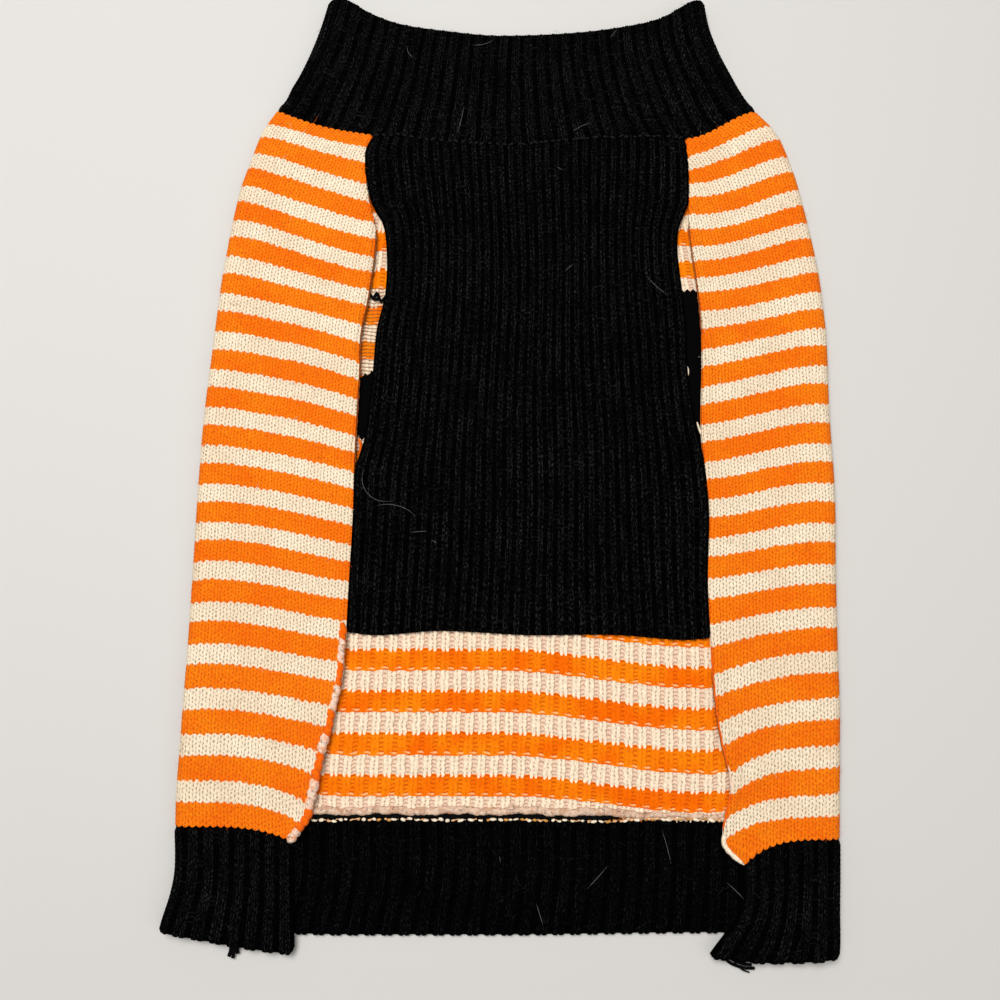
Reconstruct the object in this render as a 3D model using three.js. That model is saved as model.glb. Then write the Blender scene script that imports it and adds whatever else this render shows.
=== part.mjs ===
// Knitted dog sweater lying flat, belly side up, as a maker cuts and sews it: a striped back whose
// sides fold over to the front, a ribbed belly panel, a ribbed collar tube and a ribbed waistband.
// Millimetres, +Z up, +Y towards the collar. The origin is on the surface it lies on, under the
// middle of the garment.
import * as THREE from 'three';

// Cloth, one row for each piece: wall is the plain thickness, rest the height of the lower face of
// the layer on top, rib how far a rib stands up, settle how far inside a fold the cloth lies down.
const CLOTH = {
  back: { wall: 2.4, rest: 3.1, rib: 0, settle: 22, color: 0xf08010 },
  belly: { wall: 2.0, rest: 2.7, rib: 0.8, settle: 0, color: 0x141414 },
  collar: { wall: 2.2, rest: 2.8, rib: 0.8, settle: 16, color: 0x141414 },
  waistband: { wall: 2.0, rest: 3.1, rib: 0.8, settle: 16, color: 0x141414 },
};
const SEAM_GAP = 0.42;
const FOLD_DEPTH = 4.4;
const ROLL_WIDTH = 4.4;

// Knit counts and how finely each piece is stepped
const STRIPES = 37;
const HEM_STRIPE = 27.65;
const BELLY_RIBS = 33;
const COLLAR_RIBS = 29;
const WAIST_RIBS = { left: 7, under: 38, right: 6 };
const STEPS = {
  bellyRows: 14, openRows: 5, collarRows: 4, waistRows: 4,
  turn: 6, under: 18, top: 7, roll: 4,
};

// Where the hidden layer's rows run level, and where they droop to, as X
const UNDER = { levelFrom: -60, levelTo: -5, droopAt: 77 };

const ROW_COLUMNS = [
  'at', 'foldLX', 'foldLY', 'edgeLX', 'edgeLY', 'foldRX', 'foldRY', 'edgeRX', 'edgeRY',
  'midY', 'sideY', 'loftL', 'loftR', 'rollL', 'rollR', 'hookL', 'hookR', 'bulgeL', 'bulgeR',
];

// Rows of the back at a number of stripes below the collar seam. fold: outermost point where the
// cloth turns under, edge: end of the side on top, mid and side: hidden layer, loft: height at the
// fold, roll: how far the edge curls up, hook: how late the row bends down to its edge, and bulge: how
// far it bows towards the hem.
const BACK_ROWS = table(ROW_COLUMNS, [
  [0, -98.5, 146.3, -57.1, 134.3, 106.4, 145.4, 75.2, 132.8,
    133, 134, 7.0, 7.0, 0, 0, 1, 1, 0, 0],
  [1.5, -104, 136.7, -60.3, 126.4, 113.9, 135.3, 76.1, 122.7,
    124, 123, 7.0, 7.2, 0.1, 0.1, 1, 1, 0, 0],
  [3.5, -108.6, 122.5, -58.8, 110.6, 119.5, 120.7, 76.1, 110.6,
    111, 108, 7.4, 7.3, 0.3, 0.3, 1, 1, 0, 0],
  [5.5, -112.8, 108.1, -55.2, 93.7, 123.1, 106.3, 75.6, 96.3,
    97, 93, 7.6, 7.2, 0.6, 0.6, 1, 1.1, 0, 0],
  [9.5, -117.7, 76.7, -57.4, 64.4, 128.2, 76.7, 78.3, 68.3,
    65.5, 61.5, 7.2, 7.5, 0.6, 0.6, 1.2, 1.2, 0, 0],
  [13.5, -120.6, 44.3, -60.7, 31.6, 130.4, 45.5, 79.3, 37,
    33, 28, 7.5, 7.7, 0.6, 0.6, 2, 1.3, 0, 0],
  [17.5, -123, 11.8, -61.7, 1.2, 130.1, 14.7, 78, 6.5,
    0.5, -4, 7.8, 7.3, 0.4, 0.4, 1.6, 1.4, 0, 0],
  [21.5, -124.1, -19, -61.9, -27.3, 130.6, -18.2, 80, -24.5,
    -30.5, -36.5, 7.3, 7.1, 0.2, 0.2, 1.4, 1.5, 0, 0],
  [25.5, -124.6, -51.1, -62.9, -57.1, 129.2, -51.1, 78.5, -57.1,
    -62.5, -69.5, 7.1, 7.4, 0.2, 0.2, 1.5, 1.8, 0, 0],
  [29.5, -125.2, -83.5, -64.2, -89.2, 128.2, -83.9, 79.8, -93.8,
    -94.3, -101.2, 7.4, 7.7, 1.3, 0.8, 1.8, 1.6, 0, 0],
  [31.5, -125.8, -100.7, -67.4, -105.6, 128, -101.5, 81.6, -112,
    -110.3, -117.1, 7.6, 7.5, 1.5, 0.8, 2, 1.9, 0, 0],
  [33.5, -126.2, -117.3, -71.5, -123.2, 127.1, -119.2, 84.8, -130.6,
    -126.4, -133.1, 7.5, 7.2, 1.5, 0.8, 2.4, 3.6, 0, 0],
  [35.5, -126.8, -134.1, -75.5, -140.5, 126.1, -136.7, 82.1, -147.8,
    -140.9, -144.2, 7.2, 7.0, 1.3, 0.8, 3, 3.2, 0, 0],
  [37, -126.5, -147, -81.9, -152.6, 125.3, -151.7, 88.6, -161.2,
    -146, -147.4, 7.0, 7.0, 0.8, 0.4, 3.6, 3.6, 0, 0],
]);

// Rows of the waistband from its seam (0) to its free rim (1), in the same columns
const WAIST_ROWS = table(ROW_COLUMNS, [
  [0, -126.5, -147, -81.9, -152.6, 125.3, -151.7, 88.6, -161.2,
    -146, -147.4, 7.0, 7.0, 0, 0, 3.6, 3.6, 0, 0],
  [0.35, -125.6, -161.9, -81.3, -166.5, 124.4, -167, 84.5, -170.5,
    -160.4, -160.6, 7.2, 7.3, 0, 0, 2, 2, 0.4, 0.8],
  [0.6, -126.7, -170.9, -80.8, -176.5, 123.7, -177.5, 82.2, -178.5,
    -170.6, -170.5, 7.4, 7.4, 0, 0, 1.4, 1.4, 0.8, 1.6],
  [0.85, -129.4, -180.4, -80.3, -186, 123.2, -188.4, 79.1, -187,
    -181, -180.4, 7.3, 7.4, 0, 0, 1.1, 1.1, 1.2, 2.5],
  [1, -130.6, -185.2, -80, -191.9, 122.6, -194.6, 75.6, -192,
    -187.2, -186.4, 7.0, 7.2, 0, 0, 1, 1, 1.4, 3.6],
]);

// Seam between collar and belly panel, and the collar's free rim, from left to right
const COLLAR_SEAM = table(['at', 'y'], [
  [-57.1, 134.3], [-45, 134.4], [-32.9, 132.8], [0.5, 130.6], [37, 133.3], [66.6, 134], [75.2, 132.8],
]);
const COLLAR_RIM = table(['at', 'y'], [
  [-76.8, 197], [-69, 196.2], [-60, 191.8], [-46.6, 186.6], [-24, 182.9], [-3.3, 181], [31.3, 182.6],
  [56, 186.4], [68, 190], [79.2, 195.4], [84.6, 196.9],
]);
const COLLAR_SIDES = table(['at', 'leftX', 'rightX'], [
  [0, -98.5, 106.4], [0.31, -88.8, 96.9], [0.52, -84, 91.2], [0.75, -80, 86.9], [1, -76.8, 84.6],
]);
const COLLAR_LOFT = { seam: 7.0, rim: 7.6 };

// Width of each leg hole, between the back's edge and the belly panel, at a height along Y
const LEG_HOLE_LEFT = table(['at', 'width'], [
  [-12, 0], [-8, 0.7], [3, 3.6], [30, 5.3], [50, 6.4],
  [67, 7], [89, 4.6], [98, 2.4], [106, 0.2], [108, 0],
]);
const LEG_HOLE_RIGHT = table(['at', 'width'], [
  [-6, 0], [0, 0.6], [8, 2], [31, 5.8], [50, 6.4],
  [65, 6.6], [81, 6.4], [92, 4.7], [98, 2.2], [104, 0],
]);

// The belly panel's free hem waves a little: how far it lies below the line between its corners
const BELLY_HEM = table(['at', 'drop'], [
  [0, 0], [0.08, 1.1], [0.26, -1], [0.5, 0], [0.74, -0.6], [0.92, 0.9], [1, 0],
]);

function table(columns, rows) {
  return rows.map((row) => Object.fromEntries(columns.map((name, i) => [name, row[i]])));
}

const mix = (a, b, t) => a + (b - a) * t;

function smooth(t) {
  const c = Math.min(Math.max(t, 0), 1);
  return c * c * (3 - 2 * c);
}

// Slope of one column at a row of a table, from its neighbours
function slope(rows, name, i) {
  const before = rows[Math.max(i - 1, 0)];
  const after = rows[Math.min(i + 1, rows.length - 1)];
  return (after[name] - before[name]) / (after.at - before.at);
}

// Every column of a table at a place between its rows, on a smooth curve through them
function sample(rows, at) {
  const place = Math.min(Math.max(at, rows[0].at), rows[rows.length - 1].at);
  let i = 0;
  while (i < rows.length - 2 && place > rows[i + 1].at) i += 1;
  const span = rows[i + 1].at - rows[i].at;
  const t = (place - rows[i].at) / span;
  const bend = t * (1 - t);
  const result = {};
  for (const name of Object.keys(rows[0])) {
    const rise = rows[i + 1][name] - rows[i][name];
    const lead = slope(rows, name, i) * span - rise;
    const trail = rise - slope(rows, name, i + 1) * span;
    result[name] = rows[i][name] + rise * t + bend * (lead * (1 - t) + trail * t);
  }
  return result;
}

// Y of a row of the hidden layer at X
function underY(row, x) {
  const between = (from, to) => smooth((x - from) / (to - from));
  if (x < UNDER.levelFrom) {
    return mix(row.foldLY, row.midY, between(row.foldLX, UNDER.levelFrom));
  }
  if (x < UNDER.droopAt) {
    return mix(row.midY, row.sideY, between(UNDER.levelTo, UNDER.droopAt));
  }
  return mix(row.sideY, row.foldRY, between(UNDER.droopAt, row.foldRX));
}

// One side of a row: where it folds, where it ends and how it lies
function sideOf(row, left) {
  const side = left
    ? { foldX: row.foldLX, foldY: row.foldLY, edgeX: row.edgeLX, edgeY: row.edgeLY, loft: row.loftL }
    : { foldX: row.foldRX, foldY: row.foldRY, edgeX: row.edgeRX, edgeY: row.edgeRY, loft: row.loftR };
  side.inward = left ? 1 : -1;
  side.width = Math.abs(side.edgeX - side.foldX);
  side.roll = left ? row.rollL : row.rollR;
  side.bulge = left ? row.bulgeL : row.bulgeR;
  side.hook = left ? row.hookL : row.hookR;
  return side;
}

// Y of the layer on top, a distance inside its fold
function topY(side, inset) {
  const t = Math.min(inset / side.width, 1);
  return mix(side.foldY, side.edgeY, t ** side.hook) - side.bulge * Math.sin(Math.PI * t);
}

// Top of the cloth a distance inside its fold, before ribs and roll
function topHeight(cloth, loft, inset) {
  const flat = cloth.rest + cloth.wall;
  return mix(loft, flat, smooth((inset - FOLD_DEPTH) / cloth.settle));
}

// A point on the layer on top of a folded row, lifted by a rib or by the roll of its edge
function topPoint(row, left, cloth, inset, rib) {
  const side = sideOf(row, left);
  const x = side.foldX + side.inward * inset;
  const y = topY(side, inset);
  const z = topHeight(cloth, side.loft, inset);
  const fromEdge = Math.max(side.width - inset, 0);
  const curl = side.roll * Math.sin(Math.PI * Math.min(fromEdge / ROLL_WIDTH, 1));
  return { outer: [x, y, z + curl + rib * cloth.rib], inner: [x, y, z - cloth.wall] };
}

// Outer and inner face where the cloth turns under, angle 0 on top and pi below
function turnFaces(loft, wall, angle) {
  const half = loft / 2;
  const face = (depth) => ({
    inset: FOLD_DEPTH - (FOLD_DEPTH - depth) * Math.sin(angle),
    z: half + (half - depth) * Math.cos(angle),
  });
  return { outer: face(0), inner: face(wall) };
}

function turnPoint(row, left, cloth, angle) {
  const side = sideOf(row, left);
  const faces = turnFaces(side.loft, cloth.wall, angle);
  const above = (1 + Math.cos(angle)) / 2;
  const place = ({ inset, z }) => {
    const x = side.foldX + side.inward * inset;
    return [x, mix(underY(row, x), topY(side, inset), above), z];
  };
  return { outer: place(faces.outer), inner: place(faces.inner) };
}

function underPoint(row, cloth, t, rib) {
  const x = mix(row.foldLX + FOLD_DEPTH, row.foldRX - FOLD_DEPTH, t);
  const y = underY(row, x);
  return { outer: [x, y, 0], inner: [x, y, cloth.wall + rib * cloth.rib] };
}

// Steps over a number of ribs: a valley and two crests for each, and a last valley
function ribSteps(ribs) {
  const count = ribs * 3;
  return Array.from({ length: count + 1 }, (_, k) => ({ t: k / count, rib: k % 3 === 0 ? 0 : 1 }));
}

function plainSteps(count) {
  return Array.from({ length: count + 1 }, (_, k) => ({ t: k / count, rib: 0 }));
}

// Steps of a plain side on top, crest to edge, closer together over the rolled edge
function rolledInsets(width) {
  const flat = plainSteps(STEPS.top).map(({ t }) => mix(FOLD_DEPTH, width - ROLL_WIDTH, t));
  const roll = plainSteps(STEPS.roll).slice(1).map(({ t }) => width - ROLL_WIDTH * (1 - t));
  return [...flat, ...roll].map((inset) => ({ inset, rib: 0 }));
}

function ribbedInsets(width, ribs) {
  return ribSteps(ribs).map(({ t, rib }) => ({ inset: mix(FOLD_DEPTH, width, t), rib }));
}

// A folded row: left edge on top, left fold, hidden layer, right fold, right edge on top
function foldedRow(row, cloth, leftInsets, under, rightInsets) {
  const turn = plainSteps(STEPS.turn).slice(1, -1).map(({ t }) => Math.PI * t);
  return [
    ...leftInsets.toReversed().map(({ inset, rib }) => topPoint(row, true, cloth, inset, rib)),
    ...turn.map((angle) => turnPoint(row, true, cloth, angle)),
    ...under.map(({ t, rib }) => underPoint(row, cloth, t, rib)),
    ...turn.toReversed().map((angle) => turnPoint(row, false, cloth, angle)),
    ...rightInsets.map(({ inset, rib }) => topPoint(row, false, cloth, inset, rib)),
  ];
}

// One closed wall between two faces given row by row; a ring joins its last column to its first
function wallGeometry(rows, ring) {
  const across = rows[0].length;
  const count = rows.length * across;
  const points = rows.flat();
  const positions = [...points.map((p) => p.outer), ...points.map((p) => p.inner)].flat();
  const index = [];
  const quad = (a, b, c, d) => index.push(a, b, c, a, c, d);
  const at = (face, r, c) => face * count + r * across + (c % across);
  const lastColumn = ring ? across : across - 1;
  const lastRow = rows.length - 1;
  for (let c = 0; c < lastColumn; c += 1) {
    for (let r = 0; r < lastRow; r += 1) {
      quad(at(0, r, c), at(0, r, c + 1), at(0, r + 1, c + 1), at(0, r + 1, c));
      quad(at(1, r, c), at(1, r + 1, c), at(1, r + 1, c + 1), at(1, r, c + 1));
    }
    quad(at(0, 0, c), at(1, 0, c), at(1, 0, c + 1), at(0, 0, c + 1));
    quad(at(0, lastRow, c), at(0, lastRow, c + 1), at(1, lastRow, c + 1), at(1, lastRow, c));
  }
  for (let r = 0; r < lastRow && !ring; r += 1) {
    quad(at(0, r, 0), at(0, r + 1, 0), at(1, r + 1, 0), at(1, r, 0));
    quad(at(0, r, lastColumn), at(1, r, lastColumn), at(1, r + 1, lastColumn), at(0, r + 1, lastColumn));
  }
  const geometry = new THREE.BufferGeometry();
  geometry.setAttribute('position', new THREE.Float32BufferAttribute(positions, 3));
  geometry.setIndex(signedVolume(positions, index) < 0 ? index.toReversed() : index);
  geometry.computeVertexNormals();
  return geometry;
}

function signedVolume(positions, index) {
  const corner = (i) => new THREE.Vector3().fromArray(positions, 3 * index[i]);
  let volume = 0;
  for (let i = 0; i < index.length; i += 3) {
    volume += corner(i).dot(corner(i + 1).cross(corner(i + 2))) / 6;
  }
  return volume;
}

function clothMesh(name, geometry, cloth) {
  const material = new THREE.MeshStandardMaterial({ color: cloth.color, roughness: 0.95, metalness: 0 });
  const mesh = new THREE.Mesh(geometry, material);
  mesh.name = name;
  return mesh;
}

// Rows shared by the back and the belly panel, as stripes below the collar seam
const SEWN_ROWS = plainSteps(STEPS.bellyRows).map(({ t }) => t * HEM_STRIPE);
const OPEN_ROWS = plainSteps(STEPS.openRows).slice(1).map(({ t }) => mix(HEM_STRIPE, STRIPES, t));

function backPanel() {
  const cloth = CLOTH.back;
  const rows = [...SEWN_ROWS, ...OPEN_ROWS].map((stripe) => {
    const row = sample(BACK_ROWS, stripe);
    const left = rolledInsets(sideOf(row, true).width);
    const right = rolledInsets(sideOf(row, false).width);
    return foldedRow(row, cloth, left, plainSteps(STEPS.under), right);
  });
  return clothMesh('back_panel', wallGeometry(rows, false), cloth);
}

// Sewn edge to edge to the back's sides, apart from the leg holes; free along its hem
function bellyPanel() {
  const cloth = CLOTH.belly;
  const columns = BELLY_RIBS * 2;
  const rows = SEWN_ROWS.map((stripe) => {
    const row = sample(BACK_ROWS, stripe);
    const down = stripe / HEM_STRIPE;
    const leftX = row.edgeLX + SEAM_GAP + sample(LEG_HOLE_LEFT, row.edgeLY).width;
    const rightX = row.edgeRX - SEAM_GAP - sample(LEG_HOLE_RIGHT, row.edgeRY).width;
    return plainSteps(columns).map(({ t }, k) => {
      const seamX = mix(COLLAR_SEAM[0].at, COLLAR_SEAM.at(-1).at, t);
      const sag = sample(COLLAR_SEAM, seamX).y - mix(COLLAR_SEAM[0].y, COLLAR_SEAM.at(-1).y, t);
      const hem = sample(BELLY_HEM, t).drop;
      const x = mix(leftX, rightX, t);
      const y = mix(row.edgeLY, row.edgeRY, t) + mix(sag, -hem, down);
      const rib = cloth.rib * (k % 2);
      return { outer: [x, y, cloth.rest + cloth.wall + rib], inner: [x, y, cloth.rest] };
    });
  });
  return clothMesh('belly_panel', wallGeometry(rows, false), cloth);
}

// Y of the seam that the collar's front shares with the back's sides and the belly panel
function frontSeamY(row, x) {
  if (x < row.edgeLX) return topY(sideOf(row, true), x - row.foldLX);
  if (x > row.edgeRX) return topY(sideOf(row, false), row.foldRX - x);
  return sample(COLLAR_SEAM, x).y;
}

// A flat tube: ribbed front on top, plain back on the surface, open at its seam and at its rim
function collar() {
  const cloth = CLOTH.collar;
  const seam = sample(BACK_ROWS, 0);
  const turn = plainSteps(STEPS.turn).slice(1, -1).map(({ t }) => Math.PI * t);
  const rows = plainSteps(STEPS.collarRows).map(({ t: rise }) => {
    const sides = sample(COLLAR_SIDES, rise);
    const loft = mix(COLLAR_LOFT.seam, COLLAR_LOFT.rim, rise);
    const xAt = (across) => mix(sides.leftX, sides.rightX, across);
    const yAt = (across, seamY) => {
      const low = seamY(seam, mix(COLLAR_SIDES[0].leftX, COLLAR_SIDES[0].rightX, across)) + SEAM_GAP;
      const high = sample(COLLAR_RIM, mix(COLLAR_RIM[0].at, COLLAR_RIM.at(-1).at, across)).y;
      return mix(low, high, rise);
    };
    const width = sides.rightX - sides.leftX;
    const start = FOLD_DEPTH / width;
    const front = ribSteps(COLLAR_RIBS).map(({ t, rib }) => {
      const across = mix(start, 1 - start, t);
      const z = topHeight(cloth, loft, Math.min(across, 1 - across) * width);
      const [x, y] = [xAt(across), yAt(across, frontSeamY)];
      return { outer: [x, y, z + rib * cloth.rib], inner: [x, y, z - cloth.wall] };
    });
    const back = plainSteps(STEPS.under).map(({ t }) => {
      const across = mix(1 - start, start, t);
      const [x, y] = [xAt(across), yAt(across, underY)];
      return { outer: [x, y, 0], inner: [x, y, cloth.wall] };
    });
    const fold = (left) => turn.map((angle) => {
      const faces = turnFaces(loft, cloth.wall, angle);
      const place = ({ inset, z }) => {
        const across = left ? inset / width : 1 - inset / width;
        const above = (1 + Math.cos(angle)) / 2;
        return [xAt(across), mix(yAt(across, underY), yAt(across, frontSeamY), above), z];
      };
      return { outer: place(faces.outer), inner: place(faces.inner) };
    });
    return [...front, ...fold(false), ...back, ...fold(true).toReversed()];
  });
  return clothMesh('collar', wallGeometry(rows, true), cloth);
}

// Sewn to the back's last row, with its two ends folded over on top. The side of the cloth that is
// up is ribbed: the outside on the folded ends, the inside between them.
function waistband() {
  const cloth = CLOTH.waistband;
  const rows = plainSteps(STEPS.waistRows).map(({ t }) => {
    const row = sample(WAIST_ROWS, t);
    const left = ribbedInsets(sideOf(row, true).width, WAIST_RIBS.left);
    const right = ribbedInsets(sideOf(row, false).width, WAIST_RIBS.right);
    const points = foldedRow(row, cloth, left, ribSteps(WAIST_RIBS.under), right);
    const gap = SEAM_GAP * (1 - t);
    return points.map(({ outer, inner }) => ({
      outer: [outer[0], outer[1] - gap, outer[2]],
      inner: [inner[0], inner[1] - gap, inner[2]],
    }));
  });
  return clothMesh('waistband', wallGeometry(rows, false), cloth);
}

const sweater = new THREE.Group();
sweater.add(backPanel(), bellyPanel(), collar(), waistband());
export default sweater;
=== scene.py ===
import math

import bpy
import numpy as np
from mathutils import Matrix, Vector


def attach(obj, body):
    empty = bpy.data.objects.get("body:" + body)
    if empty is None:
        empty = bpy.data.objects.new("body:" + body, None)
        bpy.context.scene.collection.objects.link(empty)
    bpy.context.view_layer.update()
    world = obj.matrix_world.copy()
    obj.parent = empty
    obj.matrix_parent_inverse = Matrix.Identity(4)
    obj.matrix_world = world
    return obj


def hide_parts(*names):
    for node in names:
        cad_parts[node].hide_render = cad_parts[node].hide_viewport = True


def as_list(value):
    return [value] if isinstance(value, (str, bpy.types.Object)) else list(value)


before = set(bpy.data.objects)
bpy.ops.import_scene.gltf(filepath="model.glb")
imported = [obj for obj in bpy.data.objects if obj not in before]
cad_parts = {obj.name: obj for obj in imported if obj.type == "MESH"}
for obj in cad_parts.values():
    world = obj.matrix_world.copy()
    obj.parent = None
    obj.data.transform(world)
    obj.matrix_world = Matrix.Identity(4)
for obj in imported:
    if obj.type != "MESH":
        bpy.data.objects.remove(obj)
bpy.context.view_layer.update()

# The dog sweater lies flat, belly side up, its collar towards +Y. Sizes are in millimetres and
# turn into metres where a mesh is made.
MM = 0.001

# Cloth thickness, height of the upper layer's lower face, how far a fold's loft takes to settle
BACK = {"wall": 2.4, "rest": 3.1, "settle": 22.0}
BELLY = {"wall": 2.0, "rest": 2.7, "rib": 0.8}
COLLAR = {"wall": 2.2, "rest": 2.8, "rib": 0.8, "settle": 16.0, "seam_loft": 7.0, "rim_loft": 7.6}
WAIST = {"wall": 2.0, "rest": 3.1, "rib": 0.8, "settle": 16.0}
FOLD_DEPTH = 4.4
ROLL_WIDTH = 4.4

# How much lower ribs stand on a fold of the collar and of the waistband, and how far faces are
# rounded down towards their first and last courses
COLLAR_FOLD_RIB = 0.8
WAIST_FOLD_RIB = 0.6
TOP_ROUND = 0.9
INNER_ROUND = 0.7

# How far a side's edge and a waistband end's edge are rounded down, and over what width
SIDE_EDGE = {"round": 0.7, "width": 1.6}
WAIST_EDGE = {"round": 0.5, "width": 1.5}

# Knit: courses are knitted rows, wales are columns of stitches
STRIPES = 37
COURSES_A_STRIPE = 5
HEM_STRIPE = 27.65
WALE = 2.6
COURSE = 1.6
V_SLANT = 0.5
RIB_TOOTH = 0.4
BELLY_RIBS = 33
COLLAR_RIBS = 29
WAIST_RIBS = {"left": 7, "under": 38, "right": 6}
COURSES = STRIPES * COURSES_A_STRIPE
BELLY_COURSES = 126
COLLAR_COURSES = 33
WAIST_COURSES = 26

# Hidden layer: the course at the belly panel's hem, pairs of wales across, wales between a fold and
# the layer, wales of a side at its widest, how much of a pair its two legs take, and where a pair is
# stepped above and below the hem
WINDOW_COURSE = 130
UNDER_PAIRS = 45
UNDER_WALES = 5
SIDE_WALES = 33
LEG_PAIR = 0.66
UPPER_MARKS = (0, 0.33, 0.66, 0.83)
WINDOW_MARKS = (0, 0.165, 0.33, 0.495, 0.66, 0.75, 0.91)

# How finely the waistband's loops, a course and a wale are stepped, and how high stitches stand
LOOP_STEPS = 26
COURSE_STEPS = 3
WALE_STEPS = 4
RELIEF = 0.55
PURL_RELIEF = 0.6
RIB_RELIEF = 0.4

# How finely plain inner faces are stepped: courses, columns, and on the collar columns of a fold
SIDE_INNER = (75, 29)
BELLY_INNER = 60
COLLAR_INNER = (24, 59, 10)

# Flat sizes of the pieces, width and length, and the area of the collar's narrowing tube
COLLAR_AREA = 370 * 56

# Pieces of the hidden layer, on which the upper ones rest, and sections of the collar's tube in order
HIDDEN_LAYER = ["back_upper", "back_window"]
SECTIONS = ("front", "right", "back", "left")

# Columns of a rib of one wale and of two: place in the rib, how high, how thick the yarn (-1 in a
# purl bottom) and wale coordinate
RIB_COLUMNS = ("at", "high", "leg", "wale")

# X where the hidden layer's rows start and stop running level, and where they droop to
UNDER = {"level_from": -60.0, "level_to": -5.0, "droop_at": 77.0}

# Camera over the hem side, looking down and a little towards the collar
CAMERA = {"x": -3.3, "y": -83.2, "z": 391.0, "tilt": 9.0, "lens": 35.28}

# Columns of the rows of the back and the waistband, on the left and on the right
ROW_COLUMNS = (
    "at", "fold_x_l", "fold_y_l", "edge_x_l", "edge_y_l", "fold_x_r", "fold_y_r", "edge_x_r", "edge_y_r",
    "mid_y", "side_y", "loft_l", "loft_r", "roll_l", "roll_r", "hook_l", "hook_r", "bulge_l", "bulge_r",
)


def table(columns, rows):
    """Columns of numbers by name. What a row leaves out at its end is 0."""
    filled = [tuple(row) + (0,) * (len(columns) - len(row)) for row in rows]
    return {name: np.array(values, float) for name, values in zip(columns, zip(*filled))}


RIB_ONE = table(RIB_COLUMNS, [
    (0, 0, -1, 0), (0.17, 0.15, 0, 0), (0.33, 1, 1, 0.25), (0.5, 0.9, 0.3, 0.5), (0.67, 1, 1, 0.75),
    (0.83, 0.15, 0, 1),
])
RIB_TWO = table(RIB_COLUMNS, [
    (0, 0, -1, 0), (0.08, 0.05, -1, 0), (0.15, 0.3, 0, 0), (0.24, 0.9, 1, 0.25), (0.33, 0.9, 0.3, 0.5),
    (0.42, 1, 1, 0.75), (0.5, 0.85, 0, 1), (0.58, 1, 1, 1.25), (0.67, 0.9, 0.3, 1.5), (0.76, 0.9, 1, 1.75),
    (0.85, 0.3, 0, 2), (0.92, 0.05, -1, 2),
])
RIB_ONE["wales"] = 1
RIB_TWO["wales"] = 2

# Yarn colours, with painted shades and a painted highlight among them
ORANGE = (0.86, 0.215, 0.003)
ORANGE_DEEP = (0.83, 0.125, 0.001)
# Painted shade in the gaps between the wrong side's rungs, in the orange bands
ORANGE_RUNG_SHADE = (0.58, 0.07, 0.002)
CREAM = (0.86, 0.72, 0.54)
CREAM_DEEP = (0.81, 0.65, 0.465)
INSIDE_CREAM = (0.845, 0.685, 0.50)
INSIDE_PEACH = (0.80, 0.57, 0.41)
# Painted shade in the gaps between the wrong side's rungs, in the cream bands
CREAM_RUNG_SHADE = (0.47, 0.26, 0.17)
LOOP_PEACH = (0.95, 0.50, 0.22)
RUNG_SHADE = (0.17, 0.075, 0.02)
PINKISH_CREAM = (0.80, 0.59, 0.46)
PEACH_PATCH = (0.82, 0.40, 0.22)
RIDGE_CREAM = (0.66, 0.47, 0.34)
RIDGE_PATCH = (0.52, 0.30, 0.19)
BLACK = (0.0006, 0.0006, 0.0007)
# Pale fibre flecks on the black yarn, also the colour of the painted highlight along the legs
BLACK_FLECK_AND_HIGHLIGHT = (0.0280, 0.0272, 0.0265)
FIELD_BLACK = (0.0012, 0.0012, 0.0013)
# Painted shade for the gaps between stitch legs: in orange, in cream, and on the wrong side
ORANGE_GAP_SHADE = (0.60, 0.095, 0.002)
CREAM_GAP_SHADE = (0.36, 0.275, 0.165)
INSIDE_GAP_SHADE = (0.30, 0.17, 0.10)
PEACH = (0.80, 0.45, 0.22)
AMBER = (0.62, 0.29, 0.06)
# Painted shadow along the sides' edges, at the leg holes and the right side's free edge
EDGE_SHADOW = (0.30, 0.07, 0.01)
STITCH_BLACK = (0.009, 0.009, 0.009)
FIBRE_GREY = (0.035, 0.034, 0.033)
HAIR_GREY = (0.20, 0.19, 0.185)

# Where the cream band starts and ends in a pair of bands, how many courses ahead the wrong side is,
# and where in the pair of bands its peach loops lie
CREAM_FROM = 0.525
CREAM_TO = 0.98
WRONG_SIDE_SHIFT = 1.0
LOOP_PLACE = 0.93

# Noise in the yarn, as specks a metre and their detail, how strong fine relief is, and where a mix
# node takes its two colours and gives the mixed one
BLOTCH = (70.0, 2.0)
FIBRE = (2600.0, 3.0)
BUMP_STRENGTH = 0.6
MIX_A, MIX_B, MIX_RESULT = 6, 7, 2

# Plain black field knitted into the hidden back: its middle and half sizes in wales and courses
FIELD = {"wale": 50.0, "wales": 35.0, "course": 74.9, "courses": 18.1, "widen": 0.49, "slope": -4.1,
         "square": 4.0, "tooth": 1.8}

# Rows of the hidden layer sag at the left leg hole, rise at the right one and sag at the waistband's
# right: place across, reach across, how many courses, middle course and reach in courses
ROW_SHIFTS = ((0.231, 0.2, -2.2, 46.0, 34.0), (0.803, 0.17, 4.6, 58.0, 52.0), (0.8, 0.22, -3.2, 184.0, 16.0))

# Painted shade lines between the rungs of yarn that show in the left leg hole: up to which wale, from which
# course, how many a course
LEFT_RUNGS = {"wale": 26.0, "course": 45.0, "a_course": 0.98}

# Floor's half size in metres and its colour, light from all around, and soft lights: place, size, power
FLOOR = 3.0
FLOOR_PALE = (0.50, 0.485, 0.46)
SKY_WHITE = (1.0, 0.98, 0.96)
WORLD_LIGHT = 0.34
LAMPS = (
    ("softbox_above", (-0.3, 0.4, 1.4), 0.7, 26.0),
    ("softbox_side", (0.9, -0.5, 1.2), 1.2, 4.0),
)

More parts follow.
